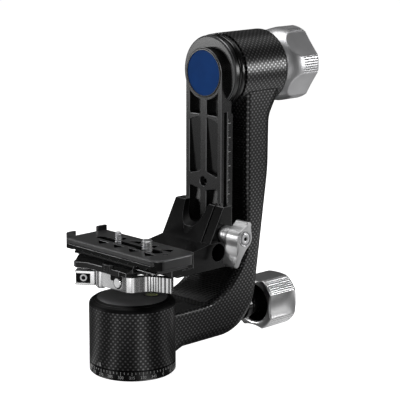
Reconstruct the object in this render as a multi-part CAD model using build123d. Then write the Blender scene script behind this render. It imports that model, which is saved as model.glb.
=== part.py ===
from build123d import *
import os
from math import cos, hypot, radians, sin

# Gimbal tripod head, millimetres.
# Origin: mouth of the tripod thread, on the pan axis, at the bottom face of the base.
# +Z is up along the pan axis, +X points from the pan axis to the upright arm,
# and the tilt axis and both clamping knobs lie along X.

# ---------------------------------------------------------------- fits
SEAT = 0.02            # gap between parts that are pressed or bolted together
RUN = 0.05             # radial clearance of a turning or sliding fit
SLIDE = 0.12           # clearance of the dovetail slides
SHADOW = 0.8           # open gap between the base ring and the turning housing
FAR = 300.0            # length of cuts that run out of the part

# ---------------------------------------------------------------- base
BASE_R = 38.0          # index ring and pan housing
RING_H = 9.0           # height of the index ring
RING_CHAMFER = 1.6     # bottom edge of the ring
THREAD_R = 4.7625      # 3/8"-16 tripod thread, nominal radius
INSERT_R = 8.0         # outside of the steel thread insert
INSERT_H = 11.0        # length of the thread insert
SPINDLE_R = 10.0       # pan spindle journal
SPINDLE_FLANGE_R = 24.0
SPINDLE_FLANGE_H = 4.0
SPINDLE_THREAD_R = 9.0 # reduced end that takes the nut
M4_R = 2.0
M4_HEAD_R = 3.5
M4_HEAD_H = 3.4
SPINDLE_SCREW_PCD = 34.0
SPINDLE_SCREWS = 3

# ---------------------------------------------------------------- pan housing and its bearings
HOUSING_TOP = 60.5     # top edge of the carbon housing
HOUSING_BORE_R = 20.0
RACE_H = 8.0           # width of every ball race
PAN_RACE_WALL = 3.2    # radial wall of a pan race
PAN_LOWER_Z = 12.0     # bottom faces of the two bearings
PAN_UPPER_Z = 42.0
PAN_BALLS = 14
BALL_SLACK = 0.3       # groove radius over ball radius
BALL_SINK = 0.8        # how deep a ball sits in each race
NUT_WALL = 5.5
NUT_H = 5.0
COLLAR_H = 4.4         # glossy collar above the housing
COLLAR_LIP_R = 33.3    # inside of the collar's recess
COLLAR_FLOOR = 2.1     # floor under the cap
CAP_TOP = 66.0         # top of the satin cap disc
CAP_FLAT_R = 30.5      # flat part of the cap inside its bevel
CAP_BEVEL = 1.5
LEVEL_X, LEVEL_Y = 16.0, -7.7
LEVEL_R = 7.1          # outside of the level's ring
LEVEL_WALL = 1.3
LEVEL_DEPTH = 2.8
LEVEL_PROUD = 0.25

# ---------------------------------------------------------------- carbon arm
ARM_HALF_WIDTH = 30.0
LEG_BOTTOM = 16.5      # underside of the horizontal leg
LEG_TOP = 51.0         # upper side of the horizontal leg
UPRIGHT_INNER_X = 113.5
UPRIGHT_OUTER_X = 144.8
BEND_OUTER_R = 44.5
BEND_INNER_R = 57.0
BEND_CORNER_X = 123.7  # where the leg's underside would meet the leaning outer face
LEAN_TOP_Z = 165.0     # height at which the outer face stops leaning out
LEG_END_R = 8.0        # rounding where the leg leaves the housing
LEAN_R = 150.0         # rounding where the outer face stops leaning
NECK_R = 20.0          # rounding under the tilt housing
ARM_OUTER_EDGE_R = 11.0
ARM_INNER_EDGE_R = 3.0
LINER_HALF_WIDTH = 23.5
LINER_T = 1.4
LINER_PROUD = 0.5
LINER_START_X = 66.0
LINER_TOP_Z = 214.0
FAIRING_TOP = 60.0     # where the fairing meets the collar
FAIRING_END_X = 57.0

# ---------------------------------------------------------------- tilt housing
TILT_Z = 254.4         # height of the tilt axis
TILT_R = 34.0          # carbon tilt housing
TILT_FRONT_X = 107.0
TILT_REAR_X = 161.75
TILT_REAR_ROUND = 5.0
TILT_BORE_R = 24.0
TILT_COLLAR_R = 33.6
TILT_COLLAR_FRONT = 99.3
TILT_COLLAR_T = 6.1
TILT_COLLAR_BORE_R = 21.6
TILT_SPIGOT_R = 30.0
TILT_SPIGOT_L = 3.6
TILT_SPINDLE_R = 12.5
TILT_NOSE_R = 8.0
TILT_FLANGE_R = 20.5
TILT_FLANGE_T = 4.3
TILT_THREAD_R = 11.5
TILT_RACE_WALL = 3.7
TILT_FRONT_RACE_X = 111.0
TILT_REAR_RACE_X = 136.0
TILT_BALLS = 16
TILT_NUT_WALL = 7.0
TILT_NUT_L = 5.0
REAR_COVER_R = 30.5
REAR_COVER_T = 4.6
REAR_COVER_RECESS = 0.6
COVER_SCREW_PCD = 54.0
COVER_SCREWS = 4
COVER_SCREW_L = 6.5    # length of the screws past the cover
M3_R = 1.5
M3_HEAD_R = 2.75
M3_HEAD_H = 2.0

# ---------------------------------------------------------------- brakes (knob screws with their shoes)
BRAKE_TRAVEL = 1.0     # travel of either shoe for one turn of its knob
BRAKE_GAP = BRAKE_TRAVEL + 0.2                  # gap left in front of a released shoe
KNOB_THREAD_R = 4.0
PAN_KNOB_Z = 30.0
SHOE_R = 6.4
SHOE_REAR_X = 40.0
PAN_SHAFT_R = 8.0
SHAFT_SHOULDER_X = 44.0
KNOB_COLLAR_R = 13.0
KNOB_COLLAR_FRONT = 97.0
KNOB_COLLAR_REAR = 127.5
SPACER_R = 12.0
SPACER_X = 133.5
SPACER_L = 7.0
TILT_BRAKE_R = 21.5
TILT_BRAKE_T = 3.0
TILT_BRAKE_HUB = 13.0  # square hub that keeps the brake disc from turning
TILT_BRAKE_HUB_L = 7.0
TILT_SHAFT_R = 6.0

# ---------------------------------------------------------------- knobs
PAN_KNOB_R = 26.0
PAN_KNOB_FRONT = 151.5
PAN_KNOB_REAR = 186.5
PAN_KNOB_WALL = 8.0    # wall at the lobes
PAN_KNOB_BACK = 9.0    # thickness of the cup's closed end
PAN_HUB_R = 10.5
PAN_HUB_FRONT = 143.0
PAN_LOBES = 4
PAN_LOBE_HALF_ANGLE = 19.0
PAN_FIRST_LOBE = 45.0  # angle of a lobe from +Y towards +Z
PAN_SIDE_DIPS = (2.4, -1.3)     # how far a side dips behind its chord, at the mouth and at the closed end
TILT_KNOB_R = 34.2
TILT_KNOB_FRONT = 163.2
TILT_KNOB_FRONT_R = 26.0
TILT_KNOB_SHOULDER_X = 181.5
TILT_KNOB_BULGE_X, TILT_KNOB_BULGE_R = 170.0, 31.6
TILT_KNOB_REAR = 201.5
TILT_LOBES = 5
TILT_LOBE_HALF_ANGLE = 13.8
TILT_FIRST_LOBE = 33.0
TILT_SIDE_DIPS = (0.3, 0.3)
SIDE_TOOL = 1.4        # the tool that cuts a knob's side reaches this share of the radius
KNOB_EDGE = 1.5
KNOB_CAP_R = 12.0
KNOB_CAP_T = 2.0
SHAFT_END_DEPTH = 5.0  # how far a knob's shaft stops short of its outer face

# ---------------------------------------------------------------- swing bar
BAR_FRONT = 85.7
BAR_HALF = 22.7
BAR_HEAD_BACK = 98.6
BAR_BACK = 100.6
BAR_BOTTOM = 86.0
BAR_BACK_TOP = 219.0
HEAD_DISC_R = 32.8
HEAD_DISC_FRONT = 92.9
HEAD_DISC_CHAMFER = 1.2
GROOVE_FLANK_X = 89.2  # dovetail groove along both sides of the bar
GROOVE_FLOOR_X = 91.3
GROOVE_BACK_X = 93.4
GROOVE_HALF = 20.2
GROOVE_TOP = 221.0
POCKET_INNER = 3.8     # pockets in the bar's face, from the centre rib outwards
POCKET_OUTER = 17.9
POCKET_ROUND = 2.0     # rounded corners of the pockets
UPPER_POCKET_DEPTH = 7.0
LONG_POCKET_DEPTHS = (5.0, 1.0)         # at the lower and the upper end
LOWER_POCKET_DEPTHS = (0.8, 6.5)
CROSS_RIB_Z = 216.4    # rib between the upper and the long pockets
LOWER_POCKET_Z = 99.0  # lower end of the lower pockets
BADGE_R = 21.3
BADGE_RING_W = 1.0
BADGE_RECESS = 2.0
BADGE_RING_PROUD = 0.4
BADGE_CLEAR_R = 24.4   # the upper pockets stop at this circle
BOLT_PCD = 28.0
BOLTS = 3
BAR_SCREW_Z = 156.5
BAR_SCREW_R = 4.3
BAR_SCREW_SINK = 3.0   # the screw's face lies this far inside the bar
STOP_SCREW_Z = 90.0    # screw that stops the bracket at the bar's lower end
STOP_HEAD_R = 3.2
STOP_HEAD_H = 2.4
STOP_CLEAR = 0.4

# ---------------------------------------------------------------- platform bracket
BRACKET_HALF = 31.0
BRACKET_BACK = 93.1
BRACKET_TOP = 138.1
BRACKET_BOTTOM = 83.5
SLOPE_TOP_X = 81.2
SLOPE_FOOT_X = 64.5
SLOPE_FOOT_Z = 107.0
FOOT_STEP_X = 44.0
FOOT_STEP_Z = 103.6
SHELF_Z = 89.5         # seat of the clamp
SHELF_END_X = 25.0
REAR_CHAMFER = 2.0
SLIT_Y = -20.0         # slit between the bracket and its clamping cheek
SLIT_W = 1.4
CHEEK_BOTTOM = 107.2
CHEEK_PINS = [(70.8, 110.9), (81.8, 130.8)]     # X and Z of the cheek's guide pins
CHEEK_PIN_R = 1.6
CHEEK_PIN_END = -12.5
SCOOP_R = 15.5
SCOOP_Y = 3.0
SCOOP_LOW_X, SCOOP_LOW_Z = 67.0, 111.5   # lowest point of the scoop on the slope
SCOOP_ANGLE = 53.3     # slope of the scoop's floor from the horizontal
WELL_R = 17.0
WELL_X = 93.5
WELL_BOTTOM = 120.0
GUSSET_HOLE_X, GUSSET_HOLE_Z, GUSSET_HOLE_R = 75.3, 97.8, 8.0

# ---------------------------------------------------------------- wing knob
WING_X, WING_Z = 81.1, 114.0
WING_FACE_Y = -58.0
WING_BACK_Y = -42.4
WING_TILT = 24.0       # the wing leans this far from the vertical
WING_HUB_R = 8.2
WING_SHORT, WING_LONG = 12.8, 24.2       # hub centre to the round ends
WING_TIP_R = 2.8
WING_WIDTHS = [(4.6, 6.8), (11.6, 4.8), (17.6, 3.3)]    # distance from the hub's centre and half width there
WING_GROOVE = 0.4      # depth of the step between the hub and its collar
STUD_R = 3.0
STUD_DEPTH = 6.0       # how far the stud stops behind the knob's face
STUD_END_Y = 12.0
WING_CAP_R = 6.8

# ---------------------------------------------------------------- quick-release clamp
CLAMP_END_LOW, CLAMP_END_HIGH = -38.0, 47.0     # along Y
CLAMP_BOTTOM = 87.6
CLAMP_RELIEF_Z = 94.8  # underside of the raised end, above the lever's tip
CLAMP_RELIEF_Y = -11.0 # the raised end starts here
CLAMP_RELIEF_X = 12.0
JAW_END_LOW = -25.0    # the jaw is shorter than the body at the raised end
JAW_CHAMFER = 3.5
JAW_SLOPE_TOP = (-20.5, 100.2)          # X and Z of the slope on the jaw's outer face
JAW_SLOPE_FOOT_Z = 95.0
JAW_BOSS_X, JAW_BOSS_Y, JAW_BOSS_R = -20.5, 4.8, 7.0    # ribbed finger rest on the jaw
JAW_BOSS_Z = (92.8, 98.4)
JAW_SPLIT_X = -17.0
JAW_GAP = 0.3
JAW_OUT_X = -25.0
CLAMP_REAR_X = 43.8
DOVETAIL_WAIST = 16.4  # half widths of the plate's dovetail
DOVETAIL_FOOT = 19.0
DOVETAIL_BOTTOM = 98.2
DOVETAIL_LOW_Z = 98.9
DOVETAIL_HIGH_Z = 101.5
CLAMP_TOP = 102.3
PIN_R = 3.0
PIN_Z = 92.6
PIN_YS = (0.0, 34.0)
PIN_REACH = 20.0       # length of a guide pin inside the body
JAW_SKIN = 1.6         # wall that closes the jaw's pin holes
PIN_END_GAP = 0.4      # free space past the ends of the pins
M5_R = 2.5
M5_HEAD_R = 4.2
M5_HEAD_H = 3.2
CLAMP_SCREW_X = 34.0
CLAMP_SCREW_PITCH = 36.0

# ---------------------------------------------------------------- lever under the jaw
LEVER_TOP = 87.2
LEVER_BOTTOM = 72.8
LEVER_X, LEVER_Y = -12.9, 26.3  # lever pin
LEVER_PIN_R = 2.2
LEVER_PIN_DEPTH = 8.0
BLOCK_BOTTOM = 74.0
BARREL_R = 5.2
HANDLE_DROP = 0.6      # the handle is this much shorter than the barrel at each end
BLOCK_FACE = [(-30.8, 41.0), (-20.4, 27.6)]     # outer face of the block, seen from above
BLOCK_T = 9.5
BUTTON_Y = 3.0
BUTTON_R = 4.0
BUTTON_PROUD = 1.6
BUTTON_L = 3.8         # length of the button inside the handle
HANDLE_FRONT = [(-15.6, 22.0), (-13.6, -8.0), (-4.5, -14.6), (3.8, -20.6), (8.2, -28.0), (12.4, -36.6)]
HANDLE_BACK = [(18.6, -33.0), (14.2, -23.6), (8.8, -15.0), (0.0, -8.6), (-6.6, -4.0), (-8.2, 22.0)]

# ---------------------------------------------------------------- camera plate
PLATE_HALF = 23.4
PLATE_LOW_Y, PLATE_HIGH_Y = -58.0, 63.0
PLATE_TOP = 111.8
PLATE_FLANGE_BOTTOM = 102.5
PLATE_CORNER_R = 9.0
PLATE_SMALL_CORNER_R = 3.0
PLATE_BEVEL = 0.9
DOVETAIL_INSET = 7.0   # the dovetail stops this far from both ends
LIP_W = 11.0
LIP_T = 2.6
LIP_H = 4.4
SMALL_SCREW_R = 3.175  # 1/4"-20
SMALL_SCREW_Y = 18.0
SMALL_SCREW_UP = 8.8
LARGE_SCREW_R = THREAD_R
LARGE_SCREW_Y = -19.5
LARGE_SCREW_UP = 8.4
SLOT_CLEAR = 0.4
SCREW_HEAD_OVER = 2.6  # head radius over thread radius
SCREW_HEAD_H = 3.6
SCREW_NECK = 0.6       # the shank below the thread is this much thinner
SCREW_NECK_UP = 0.5    # the thread starts this far above the plate
HEAD_ROOM_Z = 105.0    # top of the slots that take the screw heads
SMALL_SLOT = (-10.0, 42.0)
LARGE_SLOT = (-32.0, -12.0)
SIDE_GROOVE_Z = 107.1  # fine groove along both long sides
SIDE_GROOVE_W = 1.2
SIDE_GROOVE_DEPTH = 0.8
NOTCH_R = 2.2          # half-round notches in the flange's lower edge
NOTCH_PITCH = 12.0
NOTCH_COUNT = 9
NOTCH_DEPTH = 1.4
TRIANGLE_STARTS = (-40.0, -20.0, 0.0, 20.0)
TRIANGLE_L = 15.0
TRIANGLE_INNER, TRIANGLE_OUTER = 8.2, 16.8
TRIANGLE_DEPTH = 2.6
LOCK_PIN_R = 2.2
LOCK_PIN_Y = -43.0


# ================================================================ helpers
def rod(radius, start, end, axis="Z", at=(0, 0)):
    """Cylinder along an axis from start to end; at holds the two other coordinates in order."""
    if axis == "X":
        plane = Plane(origin=(start, at[0], at[1]), x_dir=(0, 1, 0), z_dir=(1, 0, 0))
    elif axis == "Y":
        plane = Plane(origin=(at[0], start, at[1]), x_dir=(1, 0, 0), z_dir=(0, 1, 0))
    else:
        plane = Plane(origin=(at[0], at[1], start), x_dir=(1, 0, 0), z_dir=(0, 0, 1))
    return plane * Cylinder(radius, end - start, align=(Align.CENTER, Align.CENTER, Align.MIN))


def tube(outer, inner, start, end, axis="Z", at=(0, 0)):
    """Ring or sleeve."""
    return rod(outer, start, end, axis, at) - rod(inner, start - 1, end + 1, axis, at)


def block(x, y, z):
    """Box between three pairs of coordinates."""
    middle = [(low + high) / 2 for low, high in (x, y, z)]
    return Pos(*middle) * Box(x[1] - x[0], y[1] - y[0], z[1] - z[0])


def prism_y(points, low, high):
    """Outline in X and Z, drawn out along Y."""
    plane = Plane(origin=(0, high, 0), x_dir=(1, 0, 0), z_dir=(0, -1, 0))
    return extrude(plane * make_face(Polyline(*points, close=True)), high - low)


def prism_z(points, low, high):
    """Outline in X and Y, drawn out along Z."""
    return extrude(Plane.XY.offset(low) * make_face(Polyline(*points, close=True)), high - low)


def turned_z(points, at=(0, 0)):
    """Solid of revolution about a vertical axis from radius and height pairs."""
    face = Plane.XZ * make_face(Polyline(*points, close=True))
    return Pos(at[0], at[1], 0) * revolve(face, Axis.Z)


def around(count, pitch_circle, start=0.0):
    """Evenly spaced points on a circle, as pairs."""
    return [(pitch_circle / 2 * cos(radians(start + 360 * i / count)),
             pitch_circle / 2 * sin(radians(start + 360 * i / count))) for i in range(count)]


def mirrored(points):
    """The same outline on the other side of the first coordinate's zero."""
    return [(-a, b) for a, b in points]


def race_set(bore_r, wall, outer_r, starts, axis, at):
    """Inner races, outer races and balls of the bearings that share one shaft."""
    pitch_r = (bore_r + outer_r) / 2
    inner_out = bore_r + wall
    outer_in = outer_r - wall
    ball_r = (outer_in - inner_out) / 2 + BALL_SINK
    inner, outer, centres = [], [], []
    for start in starts:
        middle = start + RACE_H / 2
        place = Pos(at[0], at[1], middle)
        if axis == "X":
            place = Pos(middle, at[0], at[1]) * Rot(0, 90, 0)
        inner_ring = tube(inner_out, bore_r + SEAT, start, start + RACE_H, axis, at)
        outer_ring = tube(outer_r - SEAT, outer_in, start, start + RACE_H, axis, at)
        inner.append(inner_ring - place * Torus(pitch_r, ball_r + BALL_SLACK))
        outer.append(outer_ring - place * Torus(pitch_r, ball_r + SEAT))
        centres.append(middle)
    return inner, outer, centres, pitch_r, ball_r


def ball_ring(count, pitch_r, ball_r, centres, axis, at):
    """Balls of the bearings, one ring at each centre."""
    balls = []
    for centre in centres:
        for a, b in around(count, 2 * pitch_r):
            place = (centre, at[0] + a, at[1] + b) if axis == "X" else (at[0] + a, at[1] + b, centre)
            balls.append(Pos(*place) * Sphere(ball_r))
    return balls


def side_cutters(radius, lobes, half_lobe, dips, ends, first, at):
    """Tools that cut the sides between a knob's lobes; a side may dip more at one end than at the other."""
    half_side = radians(180 / lobes - half_lobe)
    chord_at, half_chord = radius * cos(half_side), radius * sin(half_side)
    faces = []
    for dip, x in zip(dips, ends):
        side = ThreePointArc((chord_at, -half_chord), (chord_at - dip, 0), (chord_at, half_chord))
        rest = Polyline(side @ 1, (SIDE_TOOL * chord_at, SIDE_TOOL * half_chord),
                        (SIDE_TOOL * chord_at, -SIDE_TOOL * half_chord), side @ 0)
        across = Plane(origin=(x, 0, 0), x_dir=(0, 1, 0), z_dir=(1, 0, 0))
        faces.append(across * make_face(side + rest))
    tool = loft(faces, ruled=True)
    turns = [first + 180 / lobes + 360 * i / lobes for i in range(lobes)]
    return [Pos(0, at[0], at[1]) * Rot(turn, 0, 0) * tool for turn in turns]


def save(name, shape):
    """Write one node; a list of shapes becomes one group of separate solids."""
    if isinstance(shape, (list, tuple)):
        solids = [solid for piece in shape for solid in piece.solids()]
        shape = Compound(children=solids) if len(solids) > 1 else solids[0]
    elif len(shape.solids()) == 1:
        shape = shape.solids()[0]
    export_step(shape, f"parts/{name}.step")


# ================================================================ base
ring_top = RING_H
flange_z = RING_H - SPINDLE_FLANGE_H
housing_z = RING_H + SHADOW
screw_spots = around(SPINDLE_SCREWS, SPINDLE_SCREW_PCD, 90)


def make_index_ring():
    ring = rod(BASE_R, 0, ring_top)
    ring = chamfer(ring.edges().group_by(Axis.Z)[0], RING_CHAMFER)
    ring -= rod(INSERT_R + SEAT, -1, ring_top + 1)
    ring -= rod(SPINDLE_FLANGE_R + SEAT, flange_z, ring_top + 1)
    for spot in screw_spots:
        ring -= rod(M4_HEAD_R + SEAT, -1, M4_HEAD_H + 0.4, at=spot) + rod(M4_R + SEAT, 0, ring_top, at=spot)
    return ring


def make_spindle():
    thread_start = PAN_UPPER_Z + RACE_H + SEAT
    spindle = rod(SPINDLE_FLANGE_R, flange_z, ring_top) + rod(SPINDLE_R, flange_z, thread_start)
    spindle += rod(SPINDLE_THREAD_R, flange_z, thread_start + NUT_H + 1)
    spindle -= rod(INSERT_R + SEAT, flange_z - 1, INSERT_H + SEAT)
    for spot in screw_spots:
        spindle -= rod(M4_R + SEAT, flange_z - 1, ring_top - 0.4, at=spot)
    return spindle


def make_spindle_screws():
    head_z = 0.4
    head_top = head_z + M4_HEAD_H - SEAT
    return [rod(M4_HEAD_R, head_z, head_top, at=spot) + rod(M4_R, head_z, ring_top - 0.6, at=spot)
            for spot in screw_spots]


pan_inner, pan_outer, pan_centres, pan_pitch, pan_ball = race_set(
    SPINDLE_R, PAN_RACE_WALL, HOUSING_BORE_R, (PAN_LOWER_Z, PAN_UPPER_Z), "Z", (0, 0))


def make_nut(thread_r, wall, start, length, axis, at):
    return tube(thread_r + wall, thread_r + SEAT, start, start + length, axis, at)


# ================================================================ arm
tilt_at = (0, TILT_Z)
pan_knob_at = (0, PAN_KNOB_Z)
leg_inside_x = 21.0    # the leg's outline starts here, inside the housing
tilt_cover_x = TILT_REAR_X - REAR_COVER_RECESS - REAR_COVER_T


def arm_outline():
    """Side outline of the leg, bend and upright, in X and Z."""
    inside_tilt_z = TILT_Z - TILT_R / 2
    outer = FilletPolyline((leg_inside_x, housing_z + 0.4), (37.0, LEG_BOTTOM), (BEND_CORNER_X, LEG_BOTTOM),
                           (UPRIGHT_OUTER_X - 0.3, LEAN_TOP_Z), (UPRIGHT_OUTER_X + 0.2, TILT_Z - TILT_R - 8),
                           (TILT_REAR_X - 2, inside_tilt_z), radius=[LEG_END_R, BEND_OUTER_R, LEAN_R, NECK_R])
    inner = FilletPolyline((UPRIGHT_INNER_X - 1, inside_tilt_z), (UPRIGHT_INNER_X, LEG_TOP), (0, LEG_TOP),
                           radius=BEND_INNER_R)
    top = Line(outer @ 1, inner @ 0)
    inside = Polyline(inner @ 1, (0, LEG_BOTTOM + 4), outer @ 0)
    return make_face(outer + top + inner + inside)


def on_inner_side(edge):
    middle = edge @ 0.5
    return middle.Z > LEG_TOP - 0.1 and middle.X < UPRIGHT_INNER_X + 0.1


def make_arm_blank():
    """Leg, bend and upright with rounded edges, before the housings join it."""
    side = Plane(origin=(0, 0, 0), x_dir=(1, 0, 0), z_dir=(0, -1, 0))
    arm = extrude(side * arm_outline(), ARM_HALF_WIDTH, both=True)
    flat_edges = [e for e in arm.edges() if abs(abs((e @ 0.5).Y) - ARM_HALF_WIDTH) < 0.01]
    hidden = [e for e in flat_edges if (e @ 0.5).X < leg_inside_x or (e @ 0.5).Z > TILT_Z - TILT_R / 2 - 0.1]
    inner = [e for e in flat_edges if e not in hidden and on_inner_side(e)]
    outer = [e for e in flat_edges if e not in hidden and e not in inner]
    arm = fillet(outer, ARM_OUTER_EDGE_R)
    inner = [e for e in arm.edges() if abs(abs((e @ 0.5).Y) - ARM_HALF_WIDTH) < 0.01 and on_inner_side(e)
             and (e @ 0.5).X > leg_inside_x and (e @ 0.5).Z < TILT_Z - TILT_R / 2 - 0.1]
    return fillet(inner, ARM_INNER_EDGE_R)


def liner_strip(back, front):
    """Band along the inner face between two offsets from that face."""
    def path(offset):
        return FilletPolyline((0, LEG_TOP + offset), (UPRIGHT_INNER_X - offset, LEG_TOP + offset),
                              (UPRIGHT_INNER_X - 1 - offset, LINER_TOP_Z), radius=BEND_INNER_R - offset)
    low, high = path(back), path(front)
    face = make_face(low + Line(low @ 1, high @ 1) + high + Line(high @ 0, low @ 0))
    side = Plane(origin=(0, 0, 0), x_dir=(1, 0, 0), z_dir=(0, -1, 0))
    strip = extrude(side * face, LINER_HALF_WIDTH, both=True)
    return strip - block((-1, LINER_START_X), (-BASE_R, BASE_R), (0, LINER_TOP_Z))


def make_liner():
    return liner_strip(LINER_PROUD - LINER_T, LINER_PROUD)


def make_arm_shell():
    shell = make_arm_blank()
    shell += rod(BASE_R, housing_z, HOUSING_TOP)
    tilt = rod(TILT_R, TILT_FRONT_X, TILT_REAR_X, "X", tilt_at)
    tilt = fillet(tilt.edges().group_by(Axis.X)[-1], TILT_REAR_ROUND)
    shell += tilt
    shell -= rod(HOUSING_BORE_R, housing_z - 1, HOUSING_TOP + 1)
    shell -= liner_strip(LINER_PROUD - LINER_T, LINER_PROUD + 3)
    shell -= rod(SHOE_R + RUN, 0, SHOE_REAR_X + 1.5, "X", pan_knob_at)
    shell -= rod(PAN_SHAFT_R + 1.0, SHOE_REAR_X + 1.5, KNOB_COLLAR_FRONT, "X", pan_knob_at)
    shell -= rod(KNOB_COLLAR_R + SEAT, KNOB_COLLAR_FRONT, UPRIGHT_OUTER_X, "X", pan_knob_at)
    shell -= rod(TILT_BORE_R, TILT_FRONT_X - 1, TILT_REAR_X + 1, "X", tilt_at)
    spigot_end = TILT_COLLAR_FRONT + TILT_COLLAR_T + TILT_SPIGOT_L
    shell -= rod(TILT_SPIGOT_R + SEAT, TILT_FRONT_X - 1, spigot_end + SEAT, "X", tilt_at)
    shell -= rod(REAR_COVER_R + SEAT, tilt_cover_x - SEAT, TILT_REAR_X + 1, "X", tilt_at)
    for a, b in around(COVER_SCREWS, COVER_SCREW_PCD, 45):
        hole = (a + tilt_at[0], b + tilt_at[1])
        shell -= rod(M3_R + SEAT, tilt_cover_x - COVER_SCREW_L - 0.5, TILT_REAR_X, "X", hole)
    return shell


def make_fairing():
    """Black fairing that runs from the housing's collar down onto the leg."""
    start = BASE_R - 12
    curve = ThreePointArc((BASE_R - 1, FAIRING_TOP), (BASE_R + 8, LEG_TOP + 3.4),
                          (FAIRING_END_X, LEG_TOP + 0.6))
    rest = Polyline(curve @ 1, (FAIRING_END_X, LEG_TOP + SEAT), (start, LEG_TOP + SEAT), (start, FAIRING_TOP),
                    curve @ 0)
    side = Plane(origin=(0, 0, 0), x_dir=(1, 0, 0), z_dir=(0, -1, 0))
    fairing = extrude(side * make_face(curve + rest), ARM_HALF_WIDTH - ARM_INNER_EDGE_R, both=True)
    return fairing - rod(BASE_R + SEAT, 0, HOUSING_TOP + 10)


def make_pan_collar():
    top = HOUSING_TOP + COLLAR_H
    outer = [(HOUSING_BORE_R - 1.5, HOUSING_TOP + SEAT), (BASE_R, HOUSING_TOP + SEAT)]
    curve = [(BASE_R - 0.35, HOUSING_TOP + 1.6), (BASE_R - 1.5, HOUSING_TOP + 3.0), (COLLAR_LIP_R + 1.2, top)]
    inner = [(COLLAR_LIP_R, top), (COLLAR_LIP_R, HOUSING_TOP + COLLAR_FLOOR),
             (HOUSING_BORE_R - 1.5, HOUSING_TOP + COLLAR_FLOOR)]
    return turned_z(outer + curve + inner)


def make_pan_cap():
    low = HOUSING_TOP + COLLAR_FLOOR + SEAT
    edge_r = COLLAR_LIP_R - 0.2
    bevel = [(edge_r, CAP_TOP - CAP_BEVEL), (CAP_FLAT_R, CAP_TOP)]
    cap = turned_z([(0, low), (edge_r, low)] + bevel + [(0, CAP_TOP)])
    return cap - rod(LEVEL_R + SEAT, CAP_TOP - LEVEL_DEPTH, CAP_TOP + 1, at=(LEVEL_X, LEVEL_Y))


def make_level():
    low = CAP_TOP - LEVEL_DEPTH + SEAT
    spot = (LEVEL_X, LEVEL_Y)
    ring = tube(LEVEL_R, LEVEL_R - LEVEL_WALL, low, CAP_TOP + LEVEL_PROUD, at=spot)
    vial = rod(LEVEL_R - LEVEL_WALL - SEAT, low, CAP_TOP, at=spot)
    return ring, vial


tilt_inner, tilt_outer, tilt_centres, tilt_pitch, tilt_ball = race_set(
    TILT_SPINDLE_R, TILT_RACE_WALL, TILT_BORE_R, (TILT_FRONT_RACE_X, TILT_REAR_RACE_X), "X", tilt_at)


def make_tilt_collar():
    back = TILT_COLLAR_FRONT + TILT_COLLAR_T
    collar = rod(TILT_COLLAR_R, TILT_COLLAR_FRONT, back, "X", tilt_at)
    collar = chamfer(collar.edges(), 0.9)
    collar += rod(TILT_SPIGOT_R, back - 1, back + TILT_SPIGOT_L, "X", tilt_at)
    return collar - rod(TILT_COLLAR_BORE_R, 0, back + 20, "X", tilt_at)


cover_spots = [(a, b + TILT_Z) for a, b in around(COVER_SCREWS, COVER_SCREW_PCD, 45)]


def make_rear_cover():
    cover = rod(REAR_COVER_R, tilt_cover_x, tilt_cover_x + REAR_COVER_T, "X", tilt_at)
    half = TILT_BRAKE_HUB / 2 + SLIDE
    cover -= block((tilt_cover_x - 1, TILT_REAR_X), (-half, half), (TILT_Z - half, TILT_Z + half))
    for spot in cover_spots:
        cover -= rod(M3_R + SEAT, tilt_cover_x - 1, TILT_REAR_X, "X", spot)
        cover -= rod(M3_HEAD_R + SEAT, tilt_cover_x + REAR_COVER_T - M3_HEAD_H - 0.3, TILT_REAR_X, "X", spot)
    return cover


def make_cover_screws():
    seat = tilt_cover_x + REAR_COVER_T - M3_HEAD_H - 0.3 + SEAT
    tip = tilt_cover_x - COVER_SCREW_L
    return [rod(M3_HEAD_R, seat, seat + M3_HEAD_H, "X", spot) + rod(M3_R, tip, seat + 1, "X", spot)
            for spot in cover_spots]


def make_knob_collar():
    collar = rod(KNOB_COLLAR_R, KNOB_COLLAR_FRONT + SEAT, KNOB_COLLAR_REAR, "X", pan_knob_at)
    collar = chamfer(collar.edges().group_by(Axis.X)[-1], 1.0)
    return collar - rod(PAN_SHAFT_R + RUN, 0, KNOB_COLLAR_REAR + 1, "X", pan_knob_at)


# ================================================================ pan brake and pan knob
def make_brake_shoe():
    shoe = rod(SHOE_R, SPINDLE_R - 4, SHOE_REAR_X, "X", pan_knob_at)
    shoe -= rod(SPINDLE_R + BRAKE_GAP, 0, HOUSING_TOP)
    return shoe - rod(KNOB_THREAD_R + RUN, SHOE_REAR_X - 12, SHOE_REAR_X + 1, "X", pan_knob_at)


pan_shaft_end = PAN_KNOB_REAR - SHAFT_END_DEPTH
tilt_shaft_end = TILT_KNOB_REAR - SHAFT_END_DEPTH


def make_pan_shaft():
    shaft = rod(KNOB_THREAD_R, SHOE_REAR_X - 10, SHAFT_SHOULDER_X + 1, "X", pan_knob_at)
    return shaft + rod(PAN_SHAFT_R, SHAFT_SHOULDER_X, pan_shaft_end, "X", pan_knob_at)


def make_pan_spacer():
    spacer = rod(SPACER_R, SPACER_X, SPACER_X + SPACER_L, "X", pan_knob_at)
    spacer = chamfer(spacer.edges(), 0.8)
    return spacer - rod(PAN_SHAFT_R + SEAT, 0, FAR, "X", pan_knob_at)


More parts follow.
